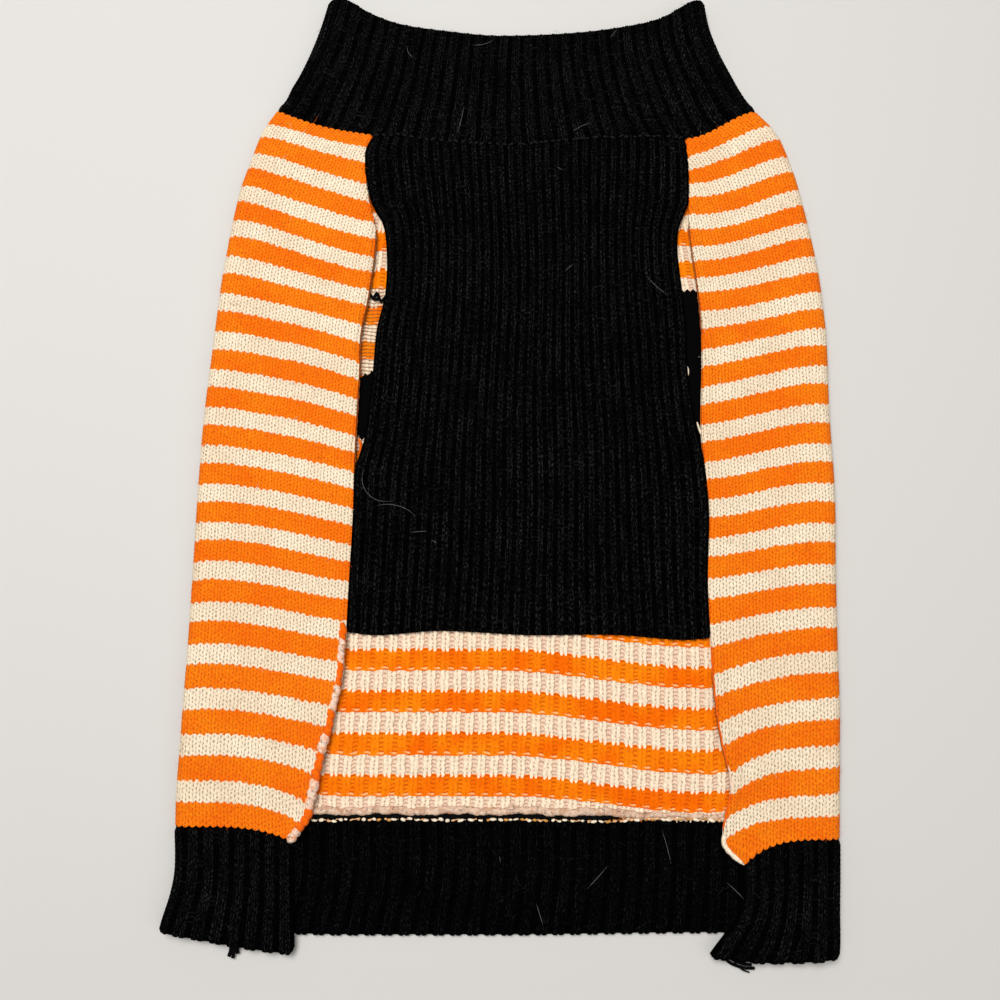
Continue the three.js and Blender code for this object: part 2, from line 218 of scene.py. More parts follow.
# Rows of the back, in stripes below the collar seam: fold is the outermost point where the cloth
# turns under, edge the end of the side on top, mid and side the hidden layer, loft the height at
# the fold, roll how far the edge curls up, hook how late the row bends down to its edge
BACK_ROWS = table(ROW_COLUMNS, [
    (0, -98.5, 146.3, -57.1, 134.3, 106, 145.4, 75.2, 132.8, 133, 134,
     7, 7, 0, 0, 1, 1),
    (1.5, -104, 136.7, -60.3, 126.4, 113.9, 135.3, 76.1, 122.7, 124, 123,
     7, 7.2, 0.1, 0.1, 1, 1),
    (3.5, -108.6, 122.5, -58.8, 110.6, 119.5, 120.7, 76.1, 110.6, 111, 108,
     7.4, 7.3, 0.3, 0.3, 1, 1),
    (5.5, -112.8, 108.1, -55.2, 93.7, 123.1, 106.3, 75.6, 96.3, 97, 93,
     7.6, 7.2, 0.6, 0.6, 1, 1.1),
    (9.5, -117.7, 76.7, -57.8, 64.4, 128.2, 76.7, 78.3, 68.3, 65.5, 61.5,
     7.2, 7.5, 0.6, 0.6, 1.2, 1.2),
    (11.5, -119.3, 60.5, -60.5, 48, 129.6, 61.1, 79.4, 52.7, 49.2, 44.8,
     7.4, 7.6, 0.6, 0.6, 1.6, 1.25),
    (13.5, -120.6, 44.3, -60.7, 31.6, 130.4, 45.5, 79.3, 37, 33, 28,
     7.5, 7.7, 0.6, 0.6, 2, 1.3),
    (17.5, -123, 11.8, -61.7, 1.2, 130.1, 14.7, 78, 6.5, 0.5, -4,
     7.8, 7.3, 0.4, 0.4, 1.6, 1.4),
    (21.5, -124.1, -19, -61.9, -27.3, 130.6, -18.2, 80, -24.5, -30.5, -36.5,
     7.3, 7.1, 0.2, 0.2, 1.4, 1.5),
    (25.5, -124.6, -51.1, -62.9, -57.1, 129.2, -51.1, 78.5, -57.1, -62.5, -69.5,
     7.1, 7.4, 0.2, 0.2, 1.5, 1.8),
    (29.5, -125.2, -83.5, -64.2, -89.2, 128.2, -83.9, 79.8, -93.8, -94.3, -101.2,
     7.4, 7.7, 1.3, 0.8, 1.8, 1.6),
    (31.5, -125.8, -100.7, -67.4, -105.6, 128, -101.5, 81.6, -112, -110.3, -117.1,
     7.6, 7.5, 1.5, 0.8, 2, 1.9),
    (33.5, -126.2, -117.3, -71.5, -123.2, 127.1, -119.2, 84.8, -130.6, -126.4, -133.1,
     7.5, 7.2, 1.5, 0.8, 2.4, 3.6),
    (35.5, -126.8, -134.1, -75.5, -140.5, 126.1, -136.7, 81.4, -147.8, -140.9, -144.2,
     7.2, 7, 1.3, 0.8, 3, 3.2),
    (36.3, -126.7, -141, -78.7, -146.9, 125.7, -144.7, 82, -155, -143.6, -145.9,
     7.1, 7, 1, 0.6, 3.4, 3.5),
    (37, -126.5, -147, -81.9, -152.6, 125.3, -151.7, 88.6, -161.2, -146, -147.4,
     7, 7, 0.8, 0.4, 3.6, 3.6),
])

# Rows of the waistband, counted on from the back's, down to its free rim; bulge is how far a folded
# corner's row bows towards the rim
WAIST_ROWS = table(ROW_COLUMNS, [
    (37, -126.5, -147, -81.9, -152.6, 125.3, -151.7, 88.6, -161.2, -146, -147.4,
     7, 7, 0, 0, 3.6, 3.6),
    (38.82, -125.6, -161.9, -81.3, -166.9, 124.4, -167, 88.1, -170.5, -160.4, -160.6,
     7.2, 7.3, 0, 0, 2, 2, 0.4, 0.8),
    (40.12, -126.7, -170.9, -80.8, -177.2, 123.7, -177.5, 86.4, -178.5, -170.6, -170.5,
     7.4, 7.4, 0, 0, 1.5, 1.4, 0.9, 1.6),
    (41.42, -129.4, -180.4, -80.3, -187.4, 123.2, -188.4, 80.3, -187, -181, -180.4,
     7.3, 7.4, 0, 0, 1.35, 1.1, 1.4, 2.5),
    (42.2, -130.6, -185.2, -80, -193.6, 122.6, -194.6, 74.6, -194.6, -187.2, -186.4,
     7, 7.2, 0, 0, 1.3, 1, 1.6, 2),
])

# How far the sides' rows sag between fold and edge: at the fold, a third and two thirds of the way
# in, and at the edge, for the left side and for the right one
SAG = table(("at", "l0", "l1", "l2", "l3", "r0", "r1", "r2", "r3"), [
    (0, 1.4, 2.6, 1.8, 0, 1, 0.3, 1.5, 0), (1.5, 0.8, 0.3, 0.9, 0.5, 0.2, 0, 1.2, 1.5),
    (3.5, 0.3, 0.2, 1.5, 2.6, 0.3, 0.7, 2.4, 1), (5.5, 0.7, 0.6, 2.1, 2.4, 0.6, 2.1, 3.2, 1),
    (8, 0.5, 0.2, 2.1, 2.4, 0.6, 1.2, 2.4, 1), (11, 0.3, 1.2, 1.6, 1.5, 0.5, 0.9, 1.3, 0),
    (14, 0.7, 1.3, 1.3, 0.8, 1.1, 0.1, 0.8, 0.8), (17.5, -0.3, -0.1, 0.1, 0.7, 2, 1.1, 2, 1.4),
    (21.5, 0.8, -0.5, 0.4, 1.6, 1.6, 0.3, 1.3, 1.1), (25.5, -0.2, -1.5, 0.1, 1, 0.9, 0.4, 1, 0.3),
    (29.5, -0.4, -1.1, 0.1, 0.4, 2, 1, 0.5, 1), (31.5, -0.6, -1.2, 0, 1, 1.6, 1.6, 0.7, 1.2),
    (33.5, 0, -0.6, -0.2, 1.2, 2, 2.6, 2.6, 1.5), (35.5, 0, 0, 0.6, 3.2, 2.2, 3, 2.2, 0.3),
    (37, 0, 0, 0, 0, 0, 0, 0, 0),
])

# Seam between collar and belly panel, the collar's free rim, and the collar's sides
COLLAR_SEAM = table(("at", "y"), [
    (-57.1, 134.3), (-45, 134.4), (-32.9, 132.8), (0.5, 130.6), (37, 133.3), (66.6, 134), (75.2, 132.8),
])
COLLAR_RIM = table(("at", "y"), [
    (-76.8, 197), (-69, 196.2), (-60, 191.8), (-46.6, 186.6), (-24, 182.9), (-3.3, 181), (31.3, 182.6),
    (56, 186.4), (68, 190), (79.2, 195.4), (84.6, 196.9),
])
COLLAR_SIDES = table(("at", "left_x", "right_x"), [
    (0, -98.5, 106), (0.08, -94.6, 102.1), (0.2, -91.8, 98.4), (0.31, -88.8, 95.6), (0.52, -84.2, 90.6),
    (0.75, -80.2, 86.6), (1, -76.8, 84.6),
])

# Width of each leg hole, between the back's edge and the belly panel, at places along Y, and how far
# the belly panel's hem drops across its width
LEG_HOLE_LEFT = table(("at", "width"), [
    (-12, 0), (-8, 0.7), (3, 3.6), (30, 5.5), (50, 6.6), (67, 7), (89, 4.2), (98, 2.2), (101, 0.8), (104, 0),
])
LEG_HOLE_RIGHT = table(("at", "width"), [
    (-6, 0), (0, 0.6), (8, 2), (31, 5.8), (50, 6.4), (65, 6.6), (81, 6.4), (92, 4.7), (98, 2.2), (104, 0),
])
BELLY_HEM = table(("at", "drop"), [
    (0, 0), (0.08, 1.1), (0.26, -1), (0.5, 0), (0.74, -0.6), (0.92, 0.9), (1, 0),
])

# Lines that the belly panel's ribs follow inside its wavy edges, how far in the edges still pull, and
# how far the ribs wander
BELLY_LINES = table(("at", "left", "right"), [
    (0, -57.1, 75.2), (6, -50.5, 70.3), (13, -54.6, 73.1), (HEM_STRIPE, -63.8, 79.2),
])
EDGE_PULL = 0.3
RIB_WANDER = 0.45

# Soft troughs in the cloth: middle, heading in degrees, length, width and depth
CREASES = table(("x", "y", "heading", "length", "width", "depth"), [
    (-98, 112, -62, 34, 7, 0.5), (-92, 40, -80, 52, 9, 0.45), (-104, -28, 74, 40, 8, 0.55),
    (-84, -66, -50, 26, 6, 0.4), (-101, -110, 68, 44, 9, 0.5), (101, 104, 58, 36, 8, 0.5),
    (109, 34, 84, 48, 9, 0.5), (96, -22, -66, 30, 7, 0.4), (108, -86, 76, 50, 9, 0.55),
    (99, -132, 40, 24, 6, 0.45), (-28, 96, -78, 40, 9, 0.5), (36, 40, 84, 60, 10, 0.45),
    (-20, -18, -86, 54, 9, 0.5), (48, -46, 78, 34, 8, 0.4), (6, 158, 82, 26, 8, 0.5),
    (-52, 160, 64, 24, 7, 0.45), (58, 166, -66, 22, 7, 0.45),
])

# The waistband's seam rises on its right. The yarns along it: ends along X, how far above the seam
# and how high they lie, and on the right how far the ridge comes down and how thin it gets
SEAM_RISE = {"by": 1.4, "from": 38, "over": 14}
RIDGE = {"from": -77.0, "to": 82.0, "above": 4.1, "height": 2.4, "radius": 1.4, "down": 1.9, "thin": 0.62}
CORD = {"from": -79.0, "to": 50.0, "above": 2.2, "height": 2.4, "radius": 1.0, "thin": 0.3}
THREAD = {"from": -78.0, "to": 82.0, "above": 0.95, "height": 3.0, "radius": 0.2}
BEADS = {"from": -77.0, "to": 81.0, "above": 0.9, "height": 3.1}

# Stitches on that seam: share, shortest, longest and radius. Then the height of the collar's
# stitches, and how far the middle of a stitch stands up
BEAD_KINDS = {
    "cream": (0.5, 1.3, 2.9, 0.56),
    "peach": (0.24, 1.0, 2.0, 0.42),
    "amber": (0.26, 1.0, 2.0, 0.45),
}
COLLAR_STITCH_HEIGHT = 4.9
STITCH_ARCH = 0.35

# Loops of the rolled left edge below the belly hem: courses, size, and how far the colours of its
# bands run ahead of the side's
EDGE_ROLL = {"from": 137.0, "to": 183.8, "loop": 1.8, "thin": 1.4, "thick": 2.0, "inset": 1.2, "height": 5.7,
             "ahead": 4.5, "wider": 0.02}

# Yarn along the sides' edges, and dark strands beside them that are painted shadow: which side, from and to
# which stripe, how far inside the edge, height, radius and colour
EDGE_LINES = (
    (True, 5.4, 18.6, -0.2, 4.4, 0.3, "dark"), (False, 5.6, 12.2, -0.2, 4.4, 0.3, "dark"),
    (False, 28.2, 32.9, -0.1, 4.9, 0.35, "orange"), (False, 28.9, 33.0, -0.5, 4.6, 0.22, "dark"),
    (False, 32.7, 33.9, 0.0, 5.1, 0.42, "pinkish"), (False, 33.8, 35.6, 0.0, 5.0, 0.4, "orange"),
    (False, 35.7, 37.0, 0.1, 5.2, 1.0, "cream"),
)

# Single stitches that show in the leg holes: colour, radius, and their points
STITCHES = (
    ("black", 0.62, ((-57.6, 65.8), (-55.9, 62.9), (-54.2, 65.0), (-52.6, 61.5), (-50.4, 64.3))),
    ("black", 0.5, ((-56.6, 63.2), (-54.6, 62.2), (-53.0, 63.9))),
    ("cream", 0.8, ((72.5, 34.4), (73.3, 31.8), (73.0, 29.0))),
    ("cream", 0.4, ((76.6, 10.3), (77.3, 7.6), (78.1, 4.9))),
    ("orange", 0.55, ((-60.6, 3.6), (-59.6, 0.6), (-60.0, -3.0))),
    ("cream", 0.4, ((-58.9, 2.4), (-58.2, 0.2), (-58.9, -1.6))),
)
STITCH_HEIGHT = 3.3

# Yarn ends that hang out below the waistband's rim: radius, and points
THREAD_ENDS = (
    (0.7, ((-104.0, -186.0), (-104.2, -190.4), (-104.3, -192.6), (-104.9, -194.6))),
    (0.7, ((-102.8, -186.0), (-103.0, -190.4), (-103.1, -193.0), (-103.4, -195.2))),
    (0.7, ((-101.7, -186.0), (-101.7, -190.2), (-101.9, -192.0), (-101.6, -193.6))),
    (0.6, ((79.0, -192.5), (82.4, -196.6), (87.6, -198.6), (91.9, -198.8))),
    (0.6, ((80.0, -192.0), (83.8, -195.6), (87.4, -197.2), (90.8, -197.6))),
    (0.3, ((84.4, -196.8), (87.1, -199.2), (89.9, -200.3))),
)
THREAD_HEIGHT = 1.6

# Stray hairs caught on the knit: where one starts, its height, length, heading and how far it turns
HAIRS = table(("x", "y", "z", "length", "heading", "turn"), [
    (-42.5, 173.3, 8.7, 6.7, -104, 86), (-18.5, 146.6, 7.2, 12.7, -99, -8), (-15.2, 173.8, 8.7, 10.2, -9, 55),
    (43.7, 177.1, 8.7, 4.8, 51, 0), (27.4, 135.2, 6.6, 9.0, 36, -19), (20.6, 119.4, 6.0, 2.9, -27, 0),
    (23.5, 73.5, 6.0, 4.5, 41, 0), (57.3, 71.3, 6.0, 11.6, -54, 21), (-57.6, -9.7, 6.0, 21.9, -107, 133),
    (-52.9, -24.7, 6.0, 17.5, 15, -64), (-38.5, -35.1, 6.0, 6.3, 4, 0), (-30.2, -38.3, 6.0, 2.3, -29, 0),
    (29.4, -170.1, 3.9, 11.0, 45, 2), (58.2, -148.8, 3.9, 12.7, -73, -6), (10.2, -175.1, 3.9, 8.6, -70, -5),
    (81.4, -167.1, 7.3, 8.6, -39, -11), (-3.5, -158.2, 3.9, 2.3, -80, 0),
])
HAIR_RADIUS = 0.06

# Loose fibres: how many on a side and on a ribbed piece, radius, lengths and how far they stand off
FUZZ = {"sides": 600, "ribs": 160, "radius": 0.045, "short": 1.0, "long": 2.8, "lift": 0.6}

# Radius of the waistband's free corner on the left (True) and on the right, and where along its
# courses the corner starts
CORNER = {True: 2.6, False: 1.0}
CORNER_FROM = 0.75

# The waistband laps over the hidden layer: how far, how much thicker it is there, over how many courses
WAIST_LAP = {"reach": 1.8, "thick": 1.1, "courses": 4}


# Shape helpers

def mix(a, b, t):
    return a + (b - a) * t


def stacked(*values):
    """Values that differ by row, by column or not at all, side by side in the last place."""
    return np.stack(np.broadcast_arrays(*values), -1)


def each(rows):
    """The rows of a table, one after the other."""
    return [dict(zip(rows, values)) for values in zip(*rows.values())]


def smooth(t):
    c = np.clip(t, 0, 1)
    return c * c * (3 - 2 * c)


def sample(rows, at):
    """Every column of a table at places between its rows, on smooth curves through them."""
    marks = rows["at"]
    place = np.clip(np.asarray(at, float), marks[0], marks[-1])
    i = np.clip(np.searchsorted(marks, place, side="right") - 1, 0, len(marks) - 2)
    before = np.maximum(np.arange(len(marks)) - 1, 0)
    after = np.minimum(np.arange(len(marks)) + 1, len(marks) - 1)
    span = marks[i + 1] - marks[i]
    t = (place - marks[i]) / span
    result = {}
    for name, values in rows.items():
        slope = (values[after] - values[before]) / (marks[after] - marks[before])
        rise = values[i + 1] - values[i]
        lead = slope[i] * span - rise
        trail = rise - slope[i + 1] * span
        result[name] = values[i] + rise * t + t * (1 - t) * (lead * (1 - t) + trail * t)
    return result


def under_y(row, x):
    """Y of a row of the hidden layer at X."""
    def run(start, end, first, last):
        return mix(row[start], row[end], smooth((x - first) / (last - first)))

    left = run("fold_y_l", "mid_y", row["fold_x_l"], UNDER["level_from"])
    middle = run("mid_y", "side_y", UNDER["level_to"], UNDER["droop_at"])
    right = run("side_y", "fold_y_r", UNDER["droop_at"], row["fold_x_r"])
    return np.where(x < UNDER["level_from"], left, np.where(x < UNDER["droop_at"], middle, right))


def side_of(row, left):
    """One side of a row: where it folds, where it ends and how it lies."""
    s = "l" if left else "r"
    side = {name[:-2]: values for name, values in row.items() if name.endswith("_" + s)}
    sags = sample(SAG, row["at"])
    side["sag"] = [sags[f"{s}{k}"] for k in range(4)]
    side["inward"] = 1 if left else -1
    side["width"] = np.abs(side["edge_x"] - side["fold_x"])
    return side


def through_four(values, t):
    """A smooth curve through four values, evenly spaced from t 0 to 1."""
    a, b, c = t - 1 / 3, t - 2 / 3, t - 1
    ends = t * a * b * values[3] - a * b * c * values[0]
    return 4.5 * ends + 13.5 * t * (b * c * values[1] - a * c * values[2])


def top_y(side, inset):
    t = np.clip(inset / side["width"], 0, 1)
    straight = mix(side["fold_y"], side["edge_y"], t ** side["hook"]) - side["bulge"] * np.sin(np.pi * t)
    return straight - through_four(side["sag"], t)


def top_height(cloth, loft, inset):
    return mix(loft, cloth["rest"] + cloth["wall"], smooth((inset - FOLD_DEPTH) / cloth["settle"]))


def quarter_turn(loft):
    """Length of the outer face from the outermost point of a fold to its top."""
    return math.pi / 2 * np.sqrt((FOLD_DEPTH ** 2 + (loft / 2) ** 2) / 2)


def folded_place(row, left, cloth, path, depth):
    """Points of a folded side, path mm from the outermost point, up over the top or (below 0) under.

    depth is how far inside the outer face the points lie."""
    side = side_of(row, left)
    half = side["loft"] / 2
    quarter = quarter_turn(side["loft"])
    angle = np.clip(np.pi / 2 * (1 - path / quarter), 0, np.pi)
    beyond = np.maximum(np.abs(path) - quarter, 0)
    inset = FOLD_DEPTH - (FOLD_DEPTH - depth) * np.sin(angle) + beyond
    x = side["fold_x"] + side["inward"] * inset
    turn_z = half + (half - depth) * np.cos(angle)
    on_top = top_height(cloth, side["loft"], inset) - depth
    z = np.where(path > quarter, on_top, np.where(path < -quarter, depth, turn_z))
    above = (1 + np.cos(angle)) / 2
    y = mix(under_y(row, x), top_y(side, inset), above)
    return np.stack([x, y, z], -1)


def edge_path(side):
    """Path from the outermost point of a fold to the edge on top."""
    return quarter_turn(side["loft"]) + side["width"] - FOLD_DEPTH


# Meshes: a solid is its points in mm, its triangles and its knit coordinates (wale, course)

def rim(a, b, a_at, b_at):
    """Triangles between two rims side by side, a_at and b_at being the places of their points."""
    order = np.argsort(np.concatenate([a_at[1:], b_at[1:]]), kind="stable")
    from_a = order < len(a) - 1
    i = np.concatenate([[0], np.cumsum(from_a)[:-1]])
    j = np.concatenate([[0], np.cumsum(~from_a)[:-1]])
    last = np.where(from_a, a[np.minimum(i + 1, len(a) - 1)], b[np.minimum(j + 1, len(b) - 1)])
    return np.stack([a[i], b[j], last], -1)


def closed(grid):
    """A grid with its first column once more at its end."""
    return np.concatenate([grid, grid[:, :1]], 1)


def grid_triangles(index, flip):
    a, b, c, d = index[:-1, :-1], index[:-1, 1:], index[1:, 1:], index[1:, :-1]
    halves = [np.stack(corners, -1).reshape(-1, 3) for corners in ((a, b, c), (a, c, d))]
    triangles = np.concatenate(halves)
    return triangles[:, ::-1] if flip else triangles


def volume(points, triangles):
    a, b, c = (points[triangles[:, k]] for k in range(3))
    return np.einsum("ij,ij->", a, np.cross(b, c)) / 6


def outward(points, triangles, coords):
    """The solid with points that share a place made one, and its faces turned outwards."""
    _, first, one = np.unique(np.round(points, 4), axis=0, return_index=True, return_inverse=True)
    triangles = first[one.ravel()[triangles]]
    a, b, c = triangles.T
    triangles = triangles[(a != b) & (b != c) & (a != c)]
    if volume(points, triangles) < 0:
        triangles = triangles[:, ::-1]
    used, place = np.unique(triangles, return_inverse=True)
    return points[used], place.reshape(-1, 3), coords[used]


def wall(outer, outer_uv, inner, inner_uv, ring=False, places=None):
    """A closed wall between two grids, which may be stepped differently.

    places are those of the outer and the inner columns, and the knit coordinates if none are given."""
    o_at, n_at = places or (outer_uv[0, :, 0], inner_uv[0, :, 0])
    points = np.concatenate([outer.reshape(-1, 3), inner.reshape(-1, 3)])
    coords = np.concatenate([outer_uv.reshape(-1, 2), inner_uv.reshape(-1, 2)])
    o = np.arange(outer.shape[0] * outer.shape[1]).reshape(outer.shape[:2])
    n = np.arange(inner.shape[0] * inner.shape[1]).reshape(inner.shape[:2]) + o.size
    if ring:
        o, n = closed(o), closed(n)
        o_at, n_at = (np.append(at, len(SECTIONS)) for at in (o_at, n_at))
    parts = [grid_triangles(o, False), grid_triangles(n, True)]
    parts += [rim(o[0], n[0], o_at, n_at)[:, ::-1], rim(o[-1], n[-1], o_at, n_at)]
    if not ring:
        rows = outer_uv[:, 0, 1], inner_uv[:, 0, 1]
        parts += [rim(o[:, 0], n[:, 0], *rows), rim(o[:, -1], n[:, -1], *rows)[:, ::-1]]
    return outward(points, np.concatenate(parts), coords)


def strand(path, radii, sides=6):
    """A length of yarn along a path, closed at both ends."""
    path = np.asarray(path, float)
    radii = np.broadcast_to(radii, len(path))
    along = np.gradient(path, axis=0)
    along /= np.maximum(np.linalg.norm(along, axis=1, keepdims=True), 1e-9)
    up = np.where(np.abs(along[:, 2:]) > 0.9, [[1.0, 0, 0]], [[0, 0, 1.0]])
    across = np.cross(along, up)
    across /= np.linalg.norm(across, axis=1, keepdims=True)
    other = np.cross(across, along)
    turn = (np.arange(sides) * 2 * np.pi / sides)[None, :, None]
    ring = across[:, None] * np.cos(turn) + other[:, None] * np.sin(turn)
    skin = path[:, None] + ring * radii[:, None, None]
    points = np.concatenate([skin.reshape(-1, 3), path[:1], path[-1:]])
    index = closed(np.arange(len(path) * sides).reshape(-1, sides))
    first = stacked(index[0, :-1], index[0, 1:], len(points) - 2)
    last = stacked(index[-1, 1:], index[-1, :-1], len(points) - 1)
    triangles = np.concatenate([grid_triangles(index, True), first, last])
    return outward(points, triangles, np.zeros((len(points), 2)))


def add_object(name, data):
    obj = bpy.data.objects.new(name, data)
    bpy.context.collection.objects.link(obj)
    return obj


def build(name, solids, material, slot, replaces=()):
    """One piece of the sweater from its solids."""
    starts = np.cumsum([0] + [len(points) for points, _, _ in solids])
    points, coords = (np.concatenate([solid[k] for solid in solids]) for k in (0, 2))
    triangles = np.concatenate([solid[1] + start for solid, start in zip(solids, starts)])
    mesh = bpy.data.meshes.new(name)
    mesh.vertices.add(len(points))
    mesh.vertices.foreach_set("co", (points * MM).ravel())
    mesh.loops.add(triangles.size)
    mesh.loops.foreach_set("vertex_index", triangles.astype(np.int32).ravel())
    mesh.polygons.add(len(triangles))
    mesh.polygons.foreach_set("loop_start", np.arange(0, triangles.size, 3, dtype=np.int32))
    mesh.polygons.foreach_set("use_smooth", np.ones(len(triangles), bool))
    uv = mesh.uv_layers.new(name="knit")
    uv.data.foreach_set("uv", coords[triangles.ravel()].astype(np.float32).ravel())
    mesh.update()
    mesh.materials.append(material)
    obj = add_object(name, mesh)
    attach(obj, "root")
    if replaces:
        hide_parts(*replaces)
    return obj


# Materials

class Value:
    """What a node gives. Arithmetic with it makes more nodes, and a comparison gives 1 or 0."""

    def __init__(self, graph, socket):
        self.graph = graph
        self.socket = socket

    def __add__(self, other):
        return self.graph.math("ADD", self, other)

    def __sub__(self, other):
        return self.graph.math("SUBTRACT", self, other)

    def __rsub__(self, other):
        return self.graph.math("SUBTRACT", other, self)

    def __mul__(self, other):
        return self.graph.math("MULTIPLY", self, other)

    def __truediv__(self, other):
        return self.graph.math("DIVIDE", self, other)

    def __gt__(self, other):
        return self.graph.math("GREATER_THAN", self, other)

    def __lt__(self, other):
        return self.graph.math("LESS_THAN", self, other)

    def __abs__(self):
        return self.graph.math("ABSOLUTE", self)

    def fract(self):
        return self.graph.math("FRACT", self)


class Graph:
    """A material and short names for making its nodes."""

    def __init__(self, name):
        self.material = bpy.data.materials.new(name)
        self.material.use_nodes = True
        self.tree = self.material.node_tree
        self.shader = self.tree.nodes["Principled BSDF"]

    def link(self, source, target):
        """A value, a number or a colour goes into a node's input."""
        if isinstance(source, Value):
            self.tree.links.new(source.socket, target)
        else:
            target.default_value = (*source, 1.0) if target.type == "RGBA" else source

    def node(self, kind, given, output=0, **settings):
        """What a new node gives, given what goes into its inputs, by place or name."""
        node = self.tree.nodes.new("ShaderNode" + kind)
        for name, setting in settings.items():
            setattr(node, name, setting)
        for key, source in given.items():
            self.link(source, node.inputs[key])
        return Value(self, node.outputs[output])

    def math(self, operation, *values):
        return self.node("Math", dict(enumerate(values)), operation=operation)

    def most(self, a, b):
        return self.math("MAXIMUM", a, b)

    def ramp(self, value, low, high, start=0.0, end=1.0):
        given = dict(enumerate((value, low, high, start, end)))
        return self.node("MapRange", given, interpolation_type="SMOOTHSTEP")

    def mix(self, factor, a, b):
        """Colour a where the factor is 0 and b where it is 1."""
        return self.node("Mix", {0: factor, MIX_A: a, MIX_B: b}, MIX_RESULT, data_type="RGBA")

    def scale(self, color, factor):
        return self.node("VectorMath", {0: color, "Scale": factor}, operation="SCALE")

    def noise(self, scale, detail, vector=None):
        """Noise with so many specks a metre, or a unit of the vector given."""
        place = self.place() if vector is None else vector
        return self.node("TexNoise", {"Scale": scale, "Detail": detail, "Vector": place}, "Fac")

    def streaks(self, wale, course, wide, long):
        """Noise drawn out along the wales, wide and long being in stitches."""
        return self.noise(1.0, 2.0, self.node("CombineXYZ", {0: wale / wide, 1: course / long}))

    def place(self):
        return self.node("TexCoord", {}, "Object")

    def split(self, vector):
        """The X, Y and Z of a vector."""
        node = self.node("SeparateXYZ", {0: vector}).socket.node
        return [Value(self, output) for output in node.outputs]

    def knit(self):
        """The wale and the course."""
        return self.split(self.node("UVMap", {}, uv_map="knit"))[:2]

    def bump(self, height, distance=0.0004):
        """Relief finer than the mesh, distance being in metres."""
        normal = self.node("Bump", {"Distance": distance, "Strength": BUMP_STRENGTH, "Height": height})
        self.link(normal, self.shader.inputs["Normal"])

    def yarn(self, color, sheen, tint=(1.0, 1.0, 1.0), specular=0.1):
        given = {"Base Color": color, "Roughness": 0.95, "Specular IOR Level": specular,
                 "Sheen Weight": sheen, "Sheen Roughness": 0.5, "Sheen Tint": tint}
        for name, source in given.items():
            self.link(source, self.shader.inputs[name])
        return self.material


def leg_shape(wale, course):
    """Distance from the wale's middle (0 to 1), course at the leg of the V, and place along the leg."""
    a = abs(wale.fract() * 2.0 - 1.0)
    leg = course - (0.5 - a) * V_SLANT
    return a, leg, leg.fract()


def band_of(leg):
    """1 in the cream bands, 0 in the orange ones, which are a little wider."""
    place = (leg / (2.0 * COURSES_A_STRIPE)).fract()
    return (place > CREAM_FROM) * (place < CREAM_TO)


def black_field(g, wale, course):
    """1 inside the plain black field on the hidden back, in whole stitches."""
    dx = (g.math("FLOOR", wale) - FIELD["wale"]) / FIELD["wales"]
    course = g.math("MULTIPLY_ADD", abs(wale.fract() - 0.5), FIELD["tooth"], course)
    dy = course - g.math("MULTIPLY_ADD", dx, FIELD["slope"], FIELD["course"])
    dy = dy / g.math("MULTIPLY_ADD", dx, FIELD["courses"] * FIELD["widen"], FIELD["courses"])
    across, down = (g.math("POWER", abs(d), FIELD["square"]) for d in (dx, dy))
    return across + down < 1.0


def ridge_of(g, a, f):
    """Yarn of a V stitch: 0 in the gaps beside and between its legs, 1 along them."""
    gap = g.most(g.ramp(a, 0.70, 0.98), g.ramp(a, 0.30, 0.02))
    between = g.most(g.ramp(f, 0.50, 0.14), g.ramp(f, 0.56, 0.88))
    seam = g.most(g.ramp(a, 0.78, 1.0, 0.0, 0.46), g.ramp(a, 0.22, 0.0, 0.0, 0.36))
    return 1.0 - g.most(gap * between, g.most(seam, between * 0.2))


def stripes_material(name):
    """Right side of the striped knit: V stitches in orange and cream bands."""
    g = Graph(name)
    wale, course = g.knit()
    wale = wale + g.ramp(g.noise(500.0, 1.0), 0.25, 0.75, -0.09, 0.09)
    course = course + g.ramp(g.noise(380.0, 1.0), 0.25, 0.75, -0.16, 0.16)
    a, leg, f = leg_shape(wale, course)
    blotch, fuzz, tuft = g.noise(*BLOTCH), g.noise(*FIBRE), g.noise(900.0, 2.0)
    ridge = ridge_of(g, a, f)
    # Painted shade: where yarn falls to 0, in the gaps between the legs, the colour turns to the gap shades
    yarn = g.ramp(ridge, 0.0, 0.8) * g.ramp(tuft, 0.25, 0.5, 0.8, 1.0)
    bright = g.ramp(blotch, 0.3, 0.7, 0.0, 0.5) + g.ramp(tuft, 0.3, 0.7, 0.0, 0.5)
    orange = g.mix(yarn, ORANGE_GAP_SHADE, g.mix(bright, ORANGE_DEEP, ORANGE))
    cream = g.mix(yarn, CREAM_GAP_SHADE, g.mix(g.ramp(blotch, 0.3, 0.7), CREAM_DEEP, CREAM))
    color = g.mix(band_of(leg + g.ramp(fuzz, 0.3, 0.7, -0.2, 0.2)), orange, cream)
    streaks = g.ramp(g.streaks(wale, leg, 0.14, 0.9), 0.3, 0.7, 0.84, 1.04)
    g.bump(ridge + fuzz * 0.5)
    return g.yarn(g.scale(color, g.ramp(fuzz, 0.2, 0.8, 0.76, 1.06) * streaks), 0.02, (1.0, 0.93, 0.85))


